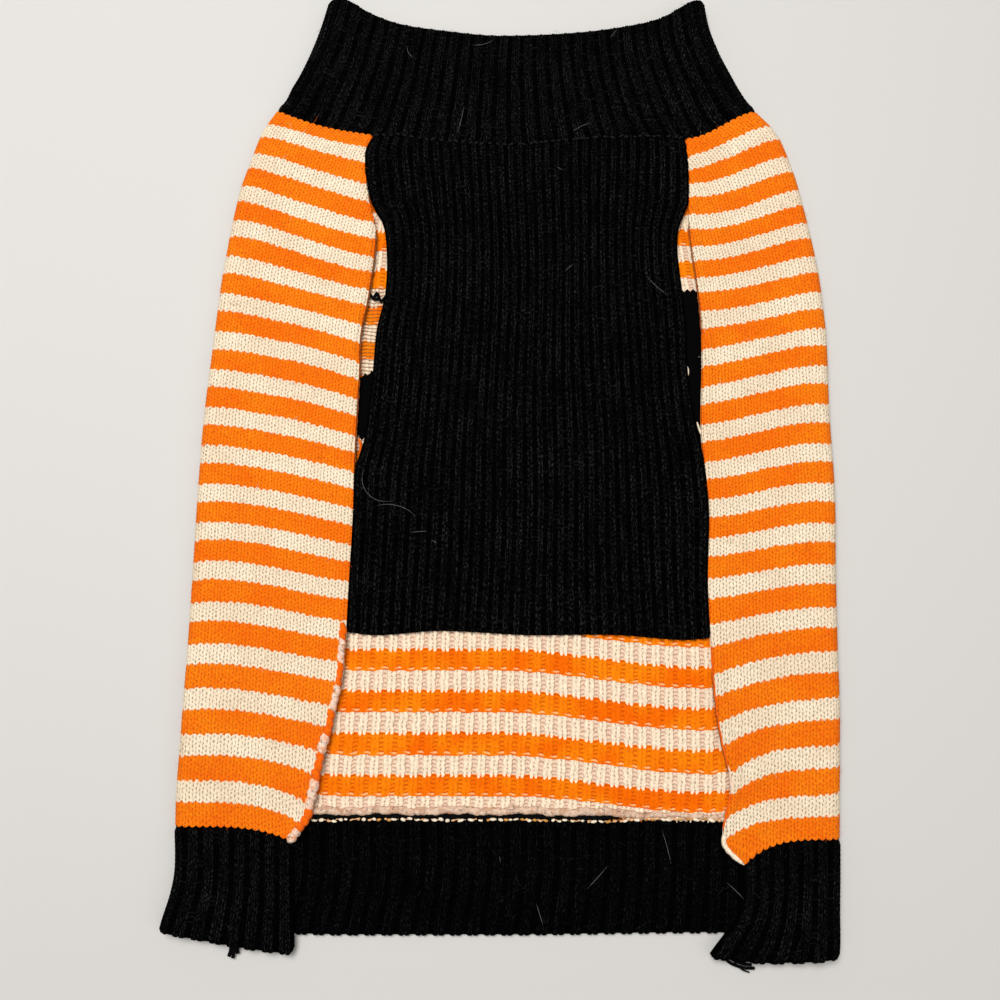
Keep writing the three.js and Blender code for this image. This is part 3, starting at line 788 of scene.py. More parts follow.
def purl_material(name, upper):
    """Wrong side of the stripes: pairs of cream legs, with rungs of yarn between the pairs, painted shade in
    the gaps between the rungs and in the holes beside the legs.
    """
    g = Graph(name)
    wale, course = g.knit()
    course = course + WRONG_SIDE_SHIFT
    black = black_field(g, wale, course) if upper else None
    course = course + g.ramp(g.streaks(wale, course, 1.3, 6.0), 0.2, 0.8, -0.28, 0.28)
    wale = wale + g.ramp(g.streaks(wale, course, 3.0, 1.5), 0.2, 0.8, -0.14, 0.14)
    p = (wale / 2.0).fract()
    legs = abs(p / LEG_PAIR * 2.0 - 1.0)
    on_pair = p < LEG_PAIR
    leg = course - on_pair * g.ramp(abs(legs - 0.52), 0.48, 0.14, 0.0, 0.72)
    blotch, fuzz = g.noise(*BLOTCH), g.noise(*FIBRE)
    # rung_gap is the low gap between rungs: lower in the relief, and painted shade in the colour
    rung_gap = (1.0 - on_pair) * g.ramp(course.fract(), 0.48, 0.16) * g.ramp(p, 1.0, 0.93, 0.2, 1.0)
    orange = g.mix(rung_gap * 0.8, g.mix(g.ramp(blotch, 0.3, 0.7), ORANGE_DEEP, ORANGE), ORANGE_RUNG_SHADE)
    cream = g.mix(rung_gap * 0.75, g.mix(on_pair, INSIDE_PEACH, INSIDE_CREAM), CREAM_RUNG_SHADE)
    to_edge = g.math("MINIMUM", abs(p - LEG_PAIR), p)
    halfway = (course + 0.5).fract()
    dot = g.most(g.ramp(halfway, 0.42, 0.1), g.ramp(halfway, 0.62, 0.94))
    # Painted shade in the holes beside the legs, dotted along the courses and broken up by noise
    hole = g.most(g.ramp(to_edge, 0.085, 0.01), on_pair * g.ramp(legs, 0.3, 0.04))
    hole = hole * g.ramp(dot, 0.0, 1.0, 0.3, 1.0) * g.ramp(g.noise(700.0, 1.0), 0.3, 0.6, 0.35, 1.0)
    orange = g.mix(hole * 0.7, orange, ORANGE_GAP_SHADE)
    cream = g.mix(hole * 0.85, cream, INSIDE_GAP_SHADE)
    color = g.mix(g.most(band_of(course), band_of(leg)), orange, cream)
    last = g.math("MODULO", course / float(COURSES_A_STRIPE), 2.0)
    middle = abs(p - mix(LEG_PAIR, 1.0, 0.45))
    oval = g.math("MULTIPLY_ADD", middle, 0.16, abs(last - LOOP_PLACE))
    color = g.mix(g.ramp(oval, 0.075, 0.04, 0.0, 0.75), color, LOOP_PEACH)
    streaks = g.ramp(g.streaks(wale, course, 0.3, 1.2), 0.3, 0.7, 0.84, 1.05)
    color = g.scale(color, g.ramp(fuzz, 0.2, 0.8, 0.78, 1.05) * streaks)
    if upper:
        # Painted shade lines between the rungs seen in the left leg hole
        rows = g.ramp((course * LEFT_RUNGS["a_course"]).fract(), 0.46, 0.2)
        here = (wale < LEFT_RUNGS["wale"]) * (course > LEFT_RUNGS["course"])
        color = g.mix(rows * here * 0.75, color, RUNG_SHADE)
        color = g.mix(black, color, FIELD_BLACK)
    g.bump(1.0 - rung_gap + fuzz * 0.5)
    return g.yarn(color, 0.0 if upper else 0.02, (1.0, 0.93, 0.88), specular=0.02)


def rib_material(name, fleck_and_highlight_below=1.0):
    """Black rib: V stitches up each rib, flecked with pale fibre, with a painted highlight along the legs and
    painted shade in the gaps, all of it less so close to the surface.
    """
    g = Graph(name)
    wale, course = g.knit()
    a, leg, f = leg_shape(wale, course)
    ridge = ridge_of(g, a, f)
    specks = g.ramp(g.noise(2600.0, 1.0), 0.62, 0.8, 0.0, 0.6)
    fleck = g.most(g.ramp(g.streaks(wale, leg, 0.13, 0.8), 0.46, 0.7), specks)
    # Painted highlight: the flecks grow along the legs and fade to painted shade in the gaps and between the
    # wales
    fleck_and_highlight = fleck * g.ramp(ridge, 0.2, 0.9, 0.15, 1.0) * g.ramp(a, 1.0, 0.8, 0.35, 1.0)
    fleck_and_highlight = fleck_and_highlight * g.ramp(g.streaks(wale, course, 0.3, 9.0), 0.35, 0.65, 0.2, 1.0)
    fleck_and_highlight = fleck_and_highlight * g.ramp(g.noise(90.0, 2.0), 0.3, 0.7, 0.6, 1.0)
    fleck_and_highlight = fleck_and_highlight * g.ramp(g.split(g.place())[2], 0.0045, 0.0062, fleck_and_highlight_below, 1.0)
    g.bump(ridge + g.noise(2200.0, 4.0) * 0.6, 0.0005)
    return g.yarn(g.mix(fleck_and_highlight, BLACK, BLACK_FLECK_AND_HIGHLIGHT), 0.0, specular=0.0)


def plain_yarn(name, color, sheen=0.05, patch_color=None):
    """Yarn of one colour, or with patches of a second one and painted shade in the gaps between its fibres.
    """
    g = Graph(name)
    fuzz, twist = g.noise(*FIBRE), g.noise(900.0, 1.0)
    shade = g.ramp(fuzz, 0.2, 0.8, 0.78, 1.08) * g.ramp(twist, 0.3, 0.7, 0.82, 1.05)
    if patch_color:
        color = g.mix(g.ramp(g.noise(420.0, 1.0), 0.44, 0.66, 0.0, 0.85), color, patch_color)
        # Painted shade: darker specks in the gaps between the fibres
        shade = shade * g.ramp(g.noise(760.0, 1.0), 0.30, 0.42, 0.5, 1.0)
    g.bump(fuzz + twist, 0.0003)
    return g.yarn(g.scale(color, shade), sheen, (1.0, 0.95, 0.9))


# Knitted relief, 0 in the gaps and 1 along the yarn

def wave(course):
    """0 where a course starts and 1 at its middle."""
    return 0.5 - 0.5 * np.cos(2 * np.pi * np.mod(course, 1))


def v_relief(wale, leg):
    """A V stitch by place across its wale and along its leg."""
    across = np.abs(np.sin(2 * np.pi * np.mod(wale, 1)))
    along = wave(leg)
    return mix(0.55 * along, 0.75 + 0.25 * along, across)


def pair_relief(p, course):
    """The wrong side: two legs, then a flat run of rungs, by place p in the pair."""
    legs = np.abs(np.sin(2 * np.pi * np.clip(p / LEG_PAIR, 0, 1)))
    on_pair = p < LEG_PAIR
    along = wave(course)
    return np.where(on_pair, np.maximum(legs, 0.25) * (0.85 + 0.15 * along), 0.25 + 0.35 * along)


def knit_rows(wale, last):
    """Rows of points that follow the legs of V stitches: their place in the leg, and their course."""
    legs = np.arange(last * COURSE_STEPS + 1)[:, None] / COURSE_STEPS
    return legs + 0 * wale, legs + V_SLANT * (0.5 - np.abs(2 * np.mod(wale, 1) - 1))


def toothed(points, course, last, reach):
    """Points whose course is past the first or last one, moved on by that much."""
    points[..., 1] -= (course - np.clip(course, 0, last)) * reach
    return points


def rib_columns(ribs, profile):
    """Places of a rib's columns in ribs, how high each stands, how thick its yarn, and its wale."""
    columns = []
    for name, step in (("at", 1), ("high", 0), ("leg", 0), ("wale", profile["wales"])):
        values = [profile[name] + k * step for k in range(ribs)] + [profile[name][:1] + ribs * step]
        columns.append(np.concatenate(values)[None, :])
    return columns


def rounding(course, last, at_first=1.3, at_last=1.2):
    """How a face is rounded down towards its first and last course, from 0 to -1."""
    return smooth(course / at_first) + smooth((last - course) / at_last) - 2


def rib_height(cloth, high, leg, legs):
    """Height of a ribbed face above its plain thickness, leg -1 for a purl bottom."""
    along = wave(legs)
    knit = RIB_RELIEF * (np.maximum(leg, 0) * (0.62 + 0.38 * along) - 0.5)
    purl = RIB_RELIEF * 0.5 * (1 - along)
    return cloth["rib"] * high + np.where(leg < 0, purl, knit)


def crease_height(x, y):
    """Soft troughs of the cloth, in mm."""
    height = 0.0
    for k, crease in enumerate(each(CREASES)):
        angle, length, width = math.radians(crease["heading"]), crease["length"], crease["width"]
        dx, dy = x - crease["x"], y - crease["y"]
        along = dx * math.cos(angle) + dy * math.sin(angle)
        across = dy * math.cos(angle) - dx * math.sin(angle)
        across = across + 0.06 * length * np.sin(2.2 * along / length + k)
        trough = np.exp(-(across / (0.5 * width)) ** 2)
        bank = np.exp(-((np.abs(across) - 0.9 * width) / (0.4 * width)) ** 2)
        faded = crease["depth"] * smooth(1 - np.abs(along) / (0.5 * length))
        height = height - faded * (trough - 0.35 * bank)
    return height


def lifted(base, height, sign):
    """A grid of points moved along its normals, sign -1 where columns run to the right on top."""
    n = np.cross(np.gradient(base, axis=1), np.gradient(base, axis=0))
    n /= np.maximum(np.linalg.norm(n, axis=-1, keepdims=True), 1e-9)
    return base + n * height[..., None] * sign


# Pieces of cloth

def cloth(name, solid, material, slot, node, rests_on, held="laid", area=None):
    """A piece of cloth in the place of a node. area, that of its cut in square mm, is not used."""
    obj = build(name, [solid], material, slot, [node])
    cut = None if area is None else area * MM * MM
    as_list(rests_on)
    return obj


def hidden_place(row, t, height, inset_left, inset_right):
    """Points of a hidden layer, t from its left to its right join with what is folded over."""
    x = mix(row["fold_x_l"] + inset_left, row["fold_x_r"] - inset_right, t)
    return stacked(x, under_y(row, x), height)


def back_row(course):
    return sample(BACK_ROWS, course / COURSES_A_STRIPE)


def side_relief(side, path, from_edge, wales, legs):
    """Height of a striped side's stitches, with its edge rolled up and rounded over."""
    lies = smooth((path + quarter_turn(side["loft"])) / 3.0)
    curl = side["roll"] * np.sin(np.pi * np.clip(from_edge / ROLL_WIDTH, 0, 1))
    rounded = SIDE_EDGE["round"] * (1 - smooth(from_edge / SIDE_EDGE["width"]))
    return RELIEF * (v_relief(wales, legs) - 0.55) * lies + curl - rounded


def back_side(name, left, material):
    """One striped side: over the top, round the fold and a little way underneath."""
    wales = np.arange(-UNDER_WALES * WALE_STEPS, SIDE_WALES * WALE_STEPS + 1)[None, :] / WALE_STEPS
    level, _ = knit_rows(np.zeros((1, 1)), COURSES)
    wales = np.minimum(wales, edge_path(side_of(back_row(level), left)) / WALE)
    legs, course = knit_rows(wales, COURSES)
    row = back_row(course)
    side = side_of(row, left)
    path = wales * WALE
    base = toothed(folded_place(row, left, BACK, path, 0.0), course, COURSES, COURSE)
    height = side_relief(side, path, np.maximum(edge_path(side) - path, 0), wales, legs)
    height = height + crease_height(base[..., 0], base[..., 1]) * smooth(path / quarter_turn(side["loft"]))
    outer = lifted(base, height, -1 if left else 1)
    steps, columns = SIDE_INNER
    inner_course = np.linspace(0, COURSES, steps)[:, None]
    row = back_row(inner_course)
    inner_path = mix(-UNDER_WALES * WALE, edge_path(side_of(row, left)), np.linspace(0, 1, columns)[None, :])
    inner = folded_place(row, left, BACK, inner_path, BACK["wall"])
    solid = wall(outer, stacked(wales, course), inner, stacked(inner_path / WALE, inner_course))
    return cloth(name, solid, material, "striped_knit", "back_panel", HIDDEN_LAYER, "folded")


def under_place(row, t, height):
    """Points of the back's hidden layer."""
    reach = FOLD_DEPTH + UNDER_WALES * WALE
    return hidden_place(row, t, height, *(reach - quarter_turn(row[f"loft_{s}"]) for s in "lr"))


def row_shift(t, course):
    """How many courses the hidden layer's rows are off in places."""
    shift = 0.0
    for middle, reach, courses, middle_course, reach_courses in ROW_SHIFTS:
        near = smooth(1 - np.abs(course - middle_course) / reach_courses)
        shift = shift + courses * near * smooth(1 - np.abs(t - middle) / reach)
    return shift


def back_layer(name, first, last, per_course, marks, material):
    """The hidden layer between two courses: plain below, its wrong side up with legs and rungs."""
    course = np.linspace(first, last, int((last - first) * per_course) + 1)[:, None]
    pairs = (np.arange(UNDER_PAIRS)[:, None] + np.array(marks)[None, :]).ravel()
    pairs = np.append(pairs, UNDER_PAIRS)[None, :]
    height = BACK["wall"] + PURL_RELIEF * (pair_relief(np.mod(pairs, 1), course) - 0.5)
    plain = np.linspace(0, 1, UNDER_PAIRS + 1)[None, :]
    plain_course = np.linspace(first, last, int((last - first) / 3) + 1)[:, None]
    faces = []
    below = plain, 2 * UNDER_PAIRS * plain, plain_course, 0.0
    above = pairs / UNDER_PAIRS, 2 * pairs, course, height
    for t, wale, rows, z in (below, above):
        faces.append(under_place(back_row(rows), t, z))
        faces.append(stacked(wale, rows + row_shift(t, rows)))
    return cloth(name, wall(*faces), material, "striped_knit", "back_panel", ["floor"])


def belly_place(course, across):
    """X and Y of the belly panel, across from 0 at its left edge to 1."""
    stripe = course * HEM_STRIPE / BELLY_COURSES
    row = sample(BACK_ROWS, stripe)
    left_x = row["edge_x_l"] + sample(LEG_HOLE_LEFT, row["edge_y_l"])["width"]
    right_x = row["edge_x_r"] - sample(LEG_HOLE_RIGHT, row["edge_y_r"])["width"]
    seam_y = sample(COLLAR_SEAM, mix(*COLLAR_SEAM["at"][[0, -1]], across))["y"]
    sag = seam_y - mix(*COLLAR_SEAM["y"][[0, -1]], across)
    drop = sample(BELLY_HEM, across)["drop"]
    y = mix(row["edge_y_l"], row["edge_y_r"], across) + mix(sag, -drop, stripe / HEM_STRIPE)
    lines = sample(BELLY_LINES, stripe)
    pull_left = (left_x - lines["left"]) * np.clip(1 - across / EDGE_PULL, 0, 1) ** 2
    pull_right = (right_x - lines["right"]) * np.clip(1 - (1 - across) / EDGE_PULL, 0, 1) ** 2
    wander = RIB_WANDER * np.sin(np.pi * across) * np.sin(0.5 * stripe + 7 * across)
    return mix(lines["left"], lines["right"], across) + pull_left + pull_right + wander, y


def belly(material):
    """Ribbed belly panel, sewn to the sides and the collar and free along its hem."""
    marks, high, leg, wale = rib_columns(BELLY_RIBS, RIB_ONE)
    legs, course = knit_rows(wale, BELLY_COURSES)
    x, y = belly_place(np.clip(course, 0, BELLY_COURSES), marks / BELLY_RIBS)
    z = BELLY["rest"] + BELLY["wall"] + rib_height(BELLY, high, leg, legs)
    z = z + TOP_ROUND * rounding(course, BELLY_COURSES, 1.2, 1.5) + crease_height(x, y)
    outer = toothed(stacked(x, y, z), course, BELLY_COURSES, RIB_TOOTH)
    inner_course = np.linspace(0, BELLY_COURSES, BELLY_INNER)[:, None]
    t = np.linspace(0, 1, BELLY_RIBS * 2 + 1)[None, :]
    inner = stacked(*belly_place(inner_course, t), BELLY["rest"])
    solid = wall(outer, stacked(wale, course), inner, stacked(t * BELLY_RIBS, inner_course))
    return cloth("belly", solid, material, "black_rib", "belly_panel", HIDDEN_LAYER)


def front_seam_y(x):
    """Y of the seam shared by the collar's front, the back's sides and the belly panel."""
    row = each(BACK_ROWS)[0]
    left = top_y(side_of(row, True), np.maximum(x - row["fold_x_l"], 0))
    right = top_y(side_of(row, False), np.maximum(row["fold_x_r"] - x, 0))
    middle = sample(COLLAR_SEAM, x)["y"]
    return np.where(x < row["edge_x_l"], left, np.where(x > row["edge_x_r"], right, middle))


def collar_place(rise, across, above, height):
    """A point of the collar: rise from seam to rim, across from left to right, above 1 in front."""
    sides = sample(COLLAR_SIDES, rise)
    foot_x = mix(COLLAR_SIDES["left_x"][0], COLLAR_SIDES["right_x"][0], across)
    foot_y = mix(under_y(each(BACK_ROWS)[0], foot_x), front_seam_y(foot_x), above)
    rim_y = sample(COLLAR_RIM, mix(*COLLAR_RIM["at"][[0, -1]], across))["y"]
    return stacked(mix(sides["left_x"], sides["right_x"], across), mix(foot_y, rim_y, rise), height)


def section_places(counts):
    """Place of every column around the tube, a whole number at each section's start."""
    return np.concatenate([k + np.arange(n) / n for k, n in enumerate(counts)])


def collar_face(rise, front, turn, back, depth):
    """One face of the collar's tube: front, right fold, back, left fold, depth mm inside the cloth."""
    sides = sample(COLLAR_SIDES, rise)
    width = sides["right_x"] - sides["left_x"]
    loft = mix(COLLAR["seam_loft"], COLLAR["rim_loft"], rise)
    columns = dict(zip(SECTIONS, (front, turn, back[:, ::-1], turn[:, ::-1])))
    ends = np.cumsum([values.shape[1] for values in columns.values()])
    faces = []
    for (kind, places), end in zip(columns.items(), ends):
        mine = slice(end - places.shape[1], end)
        up, wide, high = (v[:, mine] if v.shape[1] > 1 else v for v in (rise, width, loft))
        if kind in ("front", "back"):
            above = 1.0 if kind == "front" else 0.0
            across = mix(FOLD_DEPTH / wide, 1 - FOLD_DEPTH / wide, places)
            top = top_height(COLLAR, high, np.minimum(across, 1 - across) * wide) - depth
            height = top if above else depth
        else:
            angle = np.pi * places
            inset = FOLD_DEPTH - (FOLD_DEPTH - depth) * np.sin(angle)
            across = inset / wide if kind == "left" else 1 - inset / wide
            above = (1 + np.cos(angle)) / 2
            height = high / 2 + (high / 2 - depth) * np.cos(angle)
        faces.append(collar_place(up + 0 * across, across, above, height))
    return np.concatenate(faces, 1)


def collar(material):
    """An open ribbed tube, flattened: its front on top, its back on the surface."""
    marks, high, leg, wale = rib_columns(COLLAR_RIBS, RIB_TWO)
    fold_marks, fold_high, fold_leg, fold_wale = (v[:, 1:-1] for v in rib_columns(2, RIB_TWO))
    back = np.arange(COLLAR_RIBS * 2 + 1)[None, :] / (COLLAR_RIBS * 2)
    turn = fold_marks / 2
    high, leg, wale = (np.concatenate(parts, 1) for parts in (
        (high, fold_high * COLLAR_FOLD_RIB, 0 * back, fold_high * COLLAR_FOLD_RIB),
        (leg, fold_leg, 0 * back, fold_leg),
        (wale, fold_wale, back * COLLAR_RIBS * 2, fold_wale),
    ))
    legs, course = knit_rows(wale, COLLAR_COURSES)
    rise = 1 - np.clip(course / COLLAR_COURSES, 0, 1)
    base = collar_face(rise, marks / COLLAR_RIBS, turn, back, 0.0)
    base = toothed(base, course, COLLAR_COURSES, RIB_TOOTH)
    counts = marks.shape[1], turn.shape[1], back.shape[1], turn.shape[1]
    height = rib_height(COLLAR, high, leg, legs) + TOP_ROUND * rounding(course, COLLAR_COURSES)
    height[:, sum(counts[:2]):sum(counts[:3])] = 0
    height[:, :counts[0]] += crease_height(base[:, :counts[0], 0], base[:, :counts[0], 1])
    outer = lifted(closed(base), closed(height), -1)[:, :-1]
    outer[..., 2] = np.maximum(outer[..., 2], 0)
    steps, columns, fold_columns = COLLAR_INNER
    inner_rise = np.linspace(1, 0, steps)[:, None]
    plain = np.linspace(0, 1, columns)[None, :]
    plain_turn = np.linspace(0, 1, fold_columns)[None, 1:-1]
    inner = collar_face(inner_rise, plain, plain_turn, plain, COLLAR["wall"])
    inner_coords = stacked(np.arange(inner.shape[1])[None, :], (1 - inner_rise) * COLLAR_COURSES)
    inner_counts = plain.shape[1], plain_turn.shape[1], plain.shape[1], plain_turn.shape[1]
    places = section_places(counts), section_places(inner_counts)
    tube = wall(outer, stacked(wale, course), inner, inner_coords, ring=True, places=places)
    return cloth("collar_tube", tube, material, "black_rib", "collar", ["floor"], area=COLLAR_AREA)


def waist_row(course):
    return sample(WAIST_ROWS, STRIPES + course / COURSES_A_STRIPE)


def waistband(material):
    """Ribbed band sewn to the back's last course, its two ends folded over on top."""
    ends = {left: rib_columns(WAIST_RIBS["left" if left else "right"], RIB_TWO) for left in (True, False)}
    fold = [v[:, 1:-1] for v in rib_columns(2, RIB_TWO)]
    under = rib_columns(WAIST_RIBS["under"], RIB_TWO)
    floor_marks = np.linspace(0, 1, WAIST_RIBS["under"] * 2 + 1)[None, :]

    def rows_of(wale, left):
        """Places in the legs, courses, rows and sides of some columns of stitches."""
        legs, course = knit_rows(wale, WAIST_COURSES)
        row = waist_row(course)
        return legs, course, row, side_of(row, left)

    def toothed_rim(points, course):
        return toothed(points, course, WAIST_COURSES, RIB_TOOTH)

    def round_corner(points, course, from_edge, left):
        """The free corner of a folded end, drawn up where its rim meets its edge."""
        turn = 1 - np.clip(from_edge / CORNER[left], 0, 1)
        near_rim = smooth((course / WAIST_COURSES - CORNER_FROM) / (1 - CORNER_FROM))
        points[..., 1] += CORNER[left] * (1 - np.sqrt(1 - turn ** 2)) * near_rim
        return points

    def end_face(left):
        marks, high, leg, wale = ends[left]
        legs, course, row, side = rows_of(wale, left)
        path = quarter_turn(side["loft"]) + marks / marks[0, -1] * (side["width"] - FOLD_DEPTH)
        base = toothed_rim(folded_place(row, left, WAIST, path, 0.0), course)
        from_edge = edge_path(side) - path
        down = WAIST_EDGE["round"] * (smooth(from_edge / WAIST_EDGE["width"]) - 1)
        down = down + TOP_ROUND * rounding(course, WAIST_COURSES)
        base[..., 2] += rib_height(WAIST, high, leg, legs) + down
        return round_corner(base, course, from_edge, left), stacked(wale, course)

    def fold_face(left):
        marks, high, leg, wale = fold
        legs, course, row, side = rows_of(wale, left)
        quarter = quarter_turn(side["loft"])
        path = quarter * (1 - marks)
        base = toothed_rim(folded_place(row, left, WAIST, path, 0.0), course)
        height = WAIST_FOLD_RIB * rib_height(WAIST, high, leg, legs)
        height = height + INNER_ROUND * rounding(course, WAIST_COURSES)
        middle_x = side["fold_x"] + side["inward"] * FOLD_DEPTH
        out = stacked(base[..., 0] - middle_x, 0.0, base[..., 2] - side["loft"] / 2)
        out /= np.linalg.norm(out, axis=-1, keepdims=True)
        return base + out * (height * smooth((path + quarter) / quarter))[..., None], stacked(wale, course)

    def floor_face():
        _, course = knit_rows(0 * floor_marks, WAIST_COURSES)
        face = hidden_place(waist_row(course), floor_marks, 0.0, FOLD_DEPTH, FOLD_DEPTH)
        return face, stacked(floor_marks * WAIST_RIBS["under"] * 2, course)

    def inner_face():
        marks, high, leg, wale = under
        legs, course = knit_rows(wale, WAIST_COURSES)
        lap = 1 - smooth(course / WAIST_LAP["courses"])
        height = WAIST["wall"] + INNER_ROUND * rounding(course, WAIST_COURSES) + WAIST_LAP["thick"] * lap
        height = height + rib_height(WAIST, high, leg, legs)
        face = hidden_place(waist_row(course), marks / marks[0, -1], height, FOLD_DEPTH, FOLD_DEPTH)
        face[..., 1] += WAIST_LAP["reach"] * lap
        return toothed_rim(face, course), stacked(wale, course)

    def loop_face(left):
        _, course, row, side = rows_of(np.zeros((1, LOOP_STEPS)), left)
        quarter = quarter_turn(side["loft"])
        t = (np.arange(LOOP_STEPS) * 2 / LOOP_STEPS)[None, :]
        path = np.where(t < 1, mix(edge_path(side), quarter, t), mix(quarter, -quarter, t - 1))
        points = folded_place(row, left, WAIST, path, WAIST["wall"])
        return round_corner(points, course, edge_path(side) - path, left), stacked(path / WALE, course)

    def joined(*parts):
        return (np.concatenate(grids, 1) for grids in zip(*parts))

    def backwards(part):
        return [grid[:, ::-1] for grid in part]

    left, right = backwards(end_face(True)), end_face(False)
    outer = joined(left, fold_face(True), floor_face(), backwards(fold_face(False)), right)
    inner = joined(loop_face(True), inner_face(), backwards(loop_face(False)))
    turn, loop = fold[0].shape[1], LOOP_STEPS // 2
    counts = ends[True][0].shape[1], turn, floor_marks.shape[1], turn, ends[False][0].shape[1]
    inner_counts = loop, loop, under[0].shape[1], loop, loop
    band = wall(*outer, *inner, places=(section_places(counts), section_places(inner_counts)))
    return cloth("waist_rib", band, material, "black_rib", "waistband", ["floor"], "folded")


# Yarn details

def taper(power, least):
    """How thick a stitch is along its length, power being 1 at both ends and 0 in the middle."""
    return np.sqrt(np.maximum(1 - power, least))


def stitch(x, y, z, length, lean, radius, steps, least):
    """A short arched stitch along X, lean being how far each end is off in Y."""
    t = np.linspace(-1, 1, steps)
    path = stacked(x + t * length / 2, y + t * lean, z + STITCH_ARCH * (1 - t ** 2))
    return strand(path, radius * taper(t ** 2, least))


def by_colour(name, strands, materials, slots=None):
    """One piece for each colour of yarn."""
    for kind, material in materials.items():
        build(f"{name}_{kind}", strands[kind], material, (slots or {}).get(kind, "striped_knit"))


def seam_line(x):
    """Y of the seam between the hidden layer and the waistband at X."""
    rise = SEAM_RISE["by"] * smooth((x - SEAM_RISE["from"]) / SEAM_RISE["over"])
    return under_y(each(BACK_ROWS)[-1], x) + rise


def seam_yarn(yarn, steps, sway, bob, thickness, sides):
    """Yarn along the seam, with how it sways, bobs and changes in thickness worked out from X."""
    x = np.linspace(yarn["from"], yarn["to"], steps)
    path = stacked(x, seam_line(x) + yarn["above"] + sway(x), yarn["height"] + bob(x))
    return strand(path, thickness(x), sides=sides)


def seam_ridge(material):
    """Rolled last courses of the striped knit, standing up behind the seam to the waistband."""
    def sway(x):
        return 0.35 * np.sin(x * 0.23) + 0.25 * np.sin(x * 0.71) - RIDGE["down"] * smooth((x - 40) / 12)

    def thickness(x):
        loops = 0.2 * np.abs(np.sin(np.pi * x / WALE + 0.6 * np.sin(x * 0.4)))
        uneven = RIDGE["radius"] + loops + 0.12 * np.sin(x * 0.9)
        return uneven * mix(1.0, RIDGE["thin"], smooth((x - 44) / 20))

    ridge = seam_yarn(RIDGE, 500, sway, lambda x: 0.12 * np.sin(x * 1.3), thickness, 10)
    build("seam_ridge", [ridge], material, "cream_yarn")


def seam_cord(material):
    """Black joining courses between the ridge and the line of stitches."""
    def thickness(x):
        return mix(CORD["radius"], CORD["thin"], smooth((x - 34) / 16))

    cord = seam_yarn(CORD, 160, lambda x: 0.2 * np.sin(x * 0.37), lambda x: 0 * x, thickness, 8)
    build("seam_cord", [cord], material, "black_rib")


def seam_beads(rng, materials):
    """Joining stitches of the waistband seam: an uneven line of pale and amber stitches on a thread."""
    beads = {kind: [] for kind in BEAD_KINDS}
    shares = [values[0] for values in BEAD_KINDS.values()]
    x = BEADS["from"]
    while x < BEADS["to"]:
        kind = rng.choice(list(BEAD_KINDS), p=shares)
        _, short, long, radius = BEAD_KINDS[kind]
        length = rng.uniform(short, long)
        y = seam_line(np.array(x)) + BEADS["above"] + rng.normal(0, 0.2)
        lean = rng.normal(0, 0.22) * length / 2
        radius = radius * rng.uniform(0.65, 1.25)
        beads[kind].append(stitch(x, y, BEADS["height"], length, lean, radius, 7, 0.04))
        x += length + rng.uniform(-0.1, 1.1)

    def sway(x):
        return 0.16 * np.sin(x * 1.9) + 0.1 * np.sin(x * 4.3)

    thread = seam_yarn(THREAD, 240, sway, lambda x: 0.14 * np.cos(x * 1.9), lambda x: THREAD["radius"], 5)
    beads["peach"].append(thread)
    by_colour("seam_stitches", beads, materials, {"cream": "cream_yarn"})


def collar_stitches(rng, material):
    """Low row of joining stitches where the collar meets the belly panel."""
    stitches = []
    x = COLLAR_SEAM["at"][0] + 1.5
    while x < COLLAR_SEAM["at"][-1] - 1.5:
        length = rng.uniform(1.5, 2.3)
        y = sample(COLLAR_SEAM, np.array(x))["y"] + rng.normal(-0.1, 0.2)
        lean = 0.3 * length * rng.normal(0, 0.6)
        stitches.append(stitch(x, y, COLLAR_STITCH_HEIGHT, length, lean, rng.uniform(0.4, 0.66), 6, 0.05))
        x += length * rng.uniform(0.9, 2.1)
    build("collar_stitches", stitches, material, "black_rib")


def edge_points(left, stripe, inset, height):
    """Points along a side's edge on top, inset mm inside it."""
    side = side_of(sample(BACK_ROWS, stripe), left)
    return stacked(side["edge_x"] - side["inward"] * inset, top_y(side, side["width"]), height)


def edge_roll(rng, materials):
    """Loops of the left edge, which has rolled over and shows its wrong side."""
    loops = {kind: [] for kind in materials}
    first, last, pitch = (EDGE_ROLL[name] for name in ("from", "to", "loop"))
    for course in np.arange(first, last, pitch):
        t = np.linspace(-1, 1, 8)
        along = course + 0.85 * pitch * t
        path = edge_points(True, along / COURSES_A_STRIPE, EDGE_ROLL["inset"], EDGE_ROLL["height"])
        path[:, 0] += rng.uniform(0.7, 1.2) * t + rng.normal(0, 0.12)
        path[:, 2] += 0.3 * (1 - t ** 2)
        place = np.mod((course + EDGE_ROLL["ahead"]) / (2 * COURSES_A_STRIPE), 1)
        is_cream = CREAM_FROM - EDGE_ROLL["wider"] < place < CREAM_TO + EDGE_ROLL["wider"]
        radius = mix(EDGE_ROLL["thin"], EDGE_ROLL["thick"], smooth((course - first) / (0.7 * (last - first))))
        radius = radius * rng.uniform(0.84, 1.0) * (1.0 if is_cream else 0.94)
        loop = strand(path, radius * taper((0.97 * t) ** 2, 0.05), sides=10)
        loops["cream" if is_cream else "orange"].append(loop)
    by_colour("edge_loops", loops, materials)


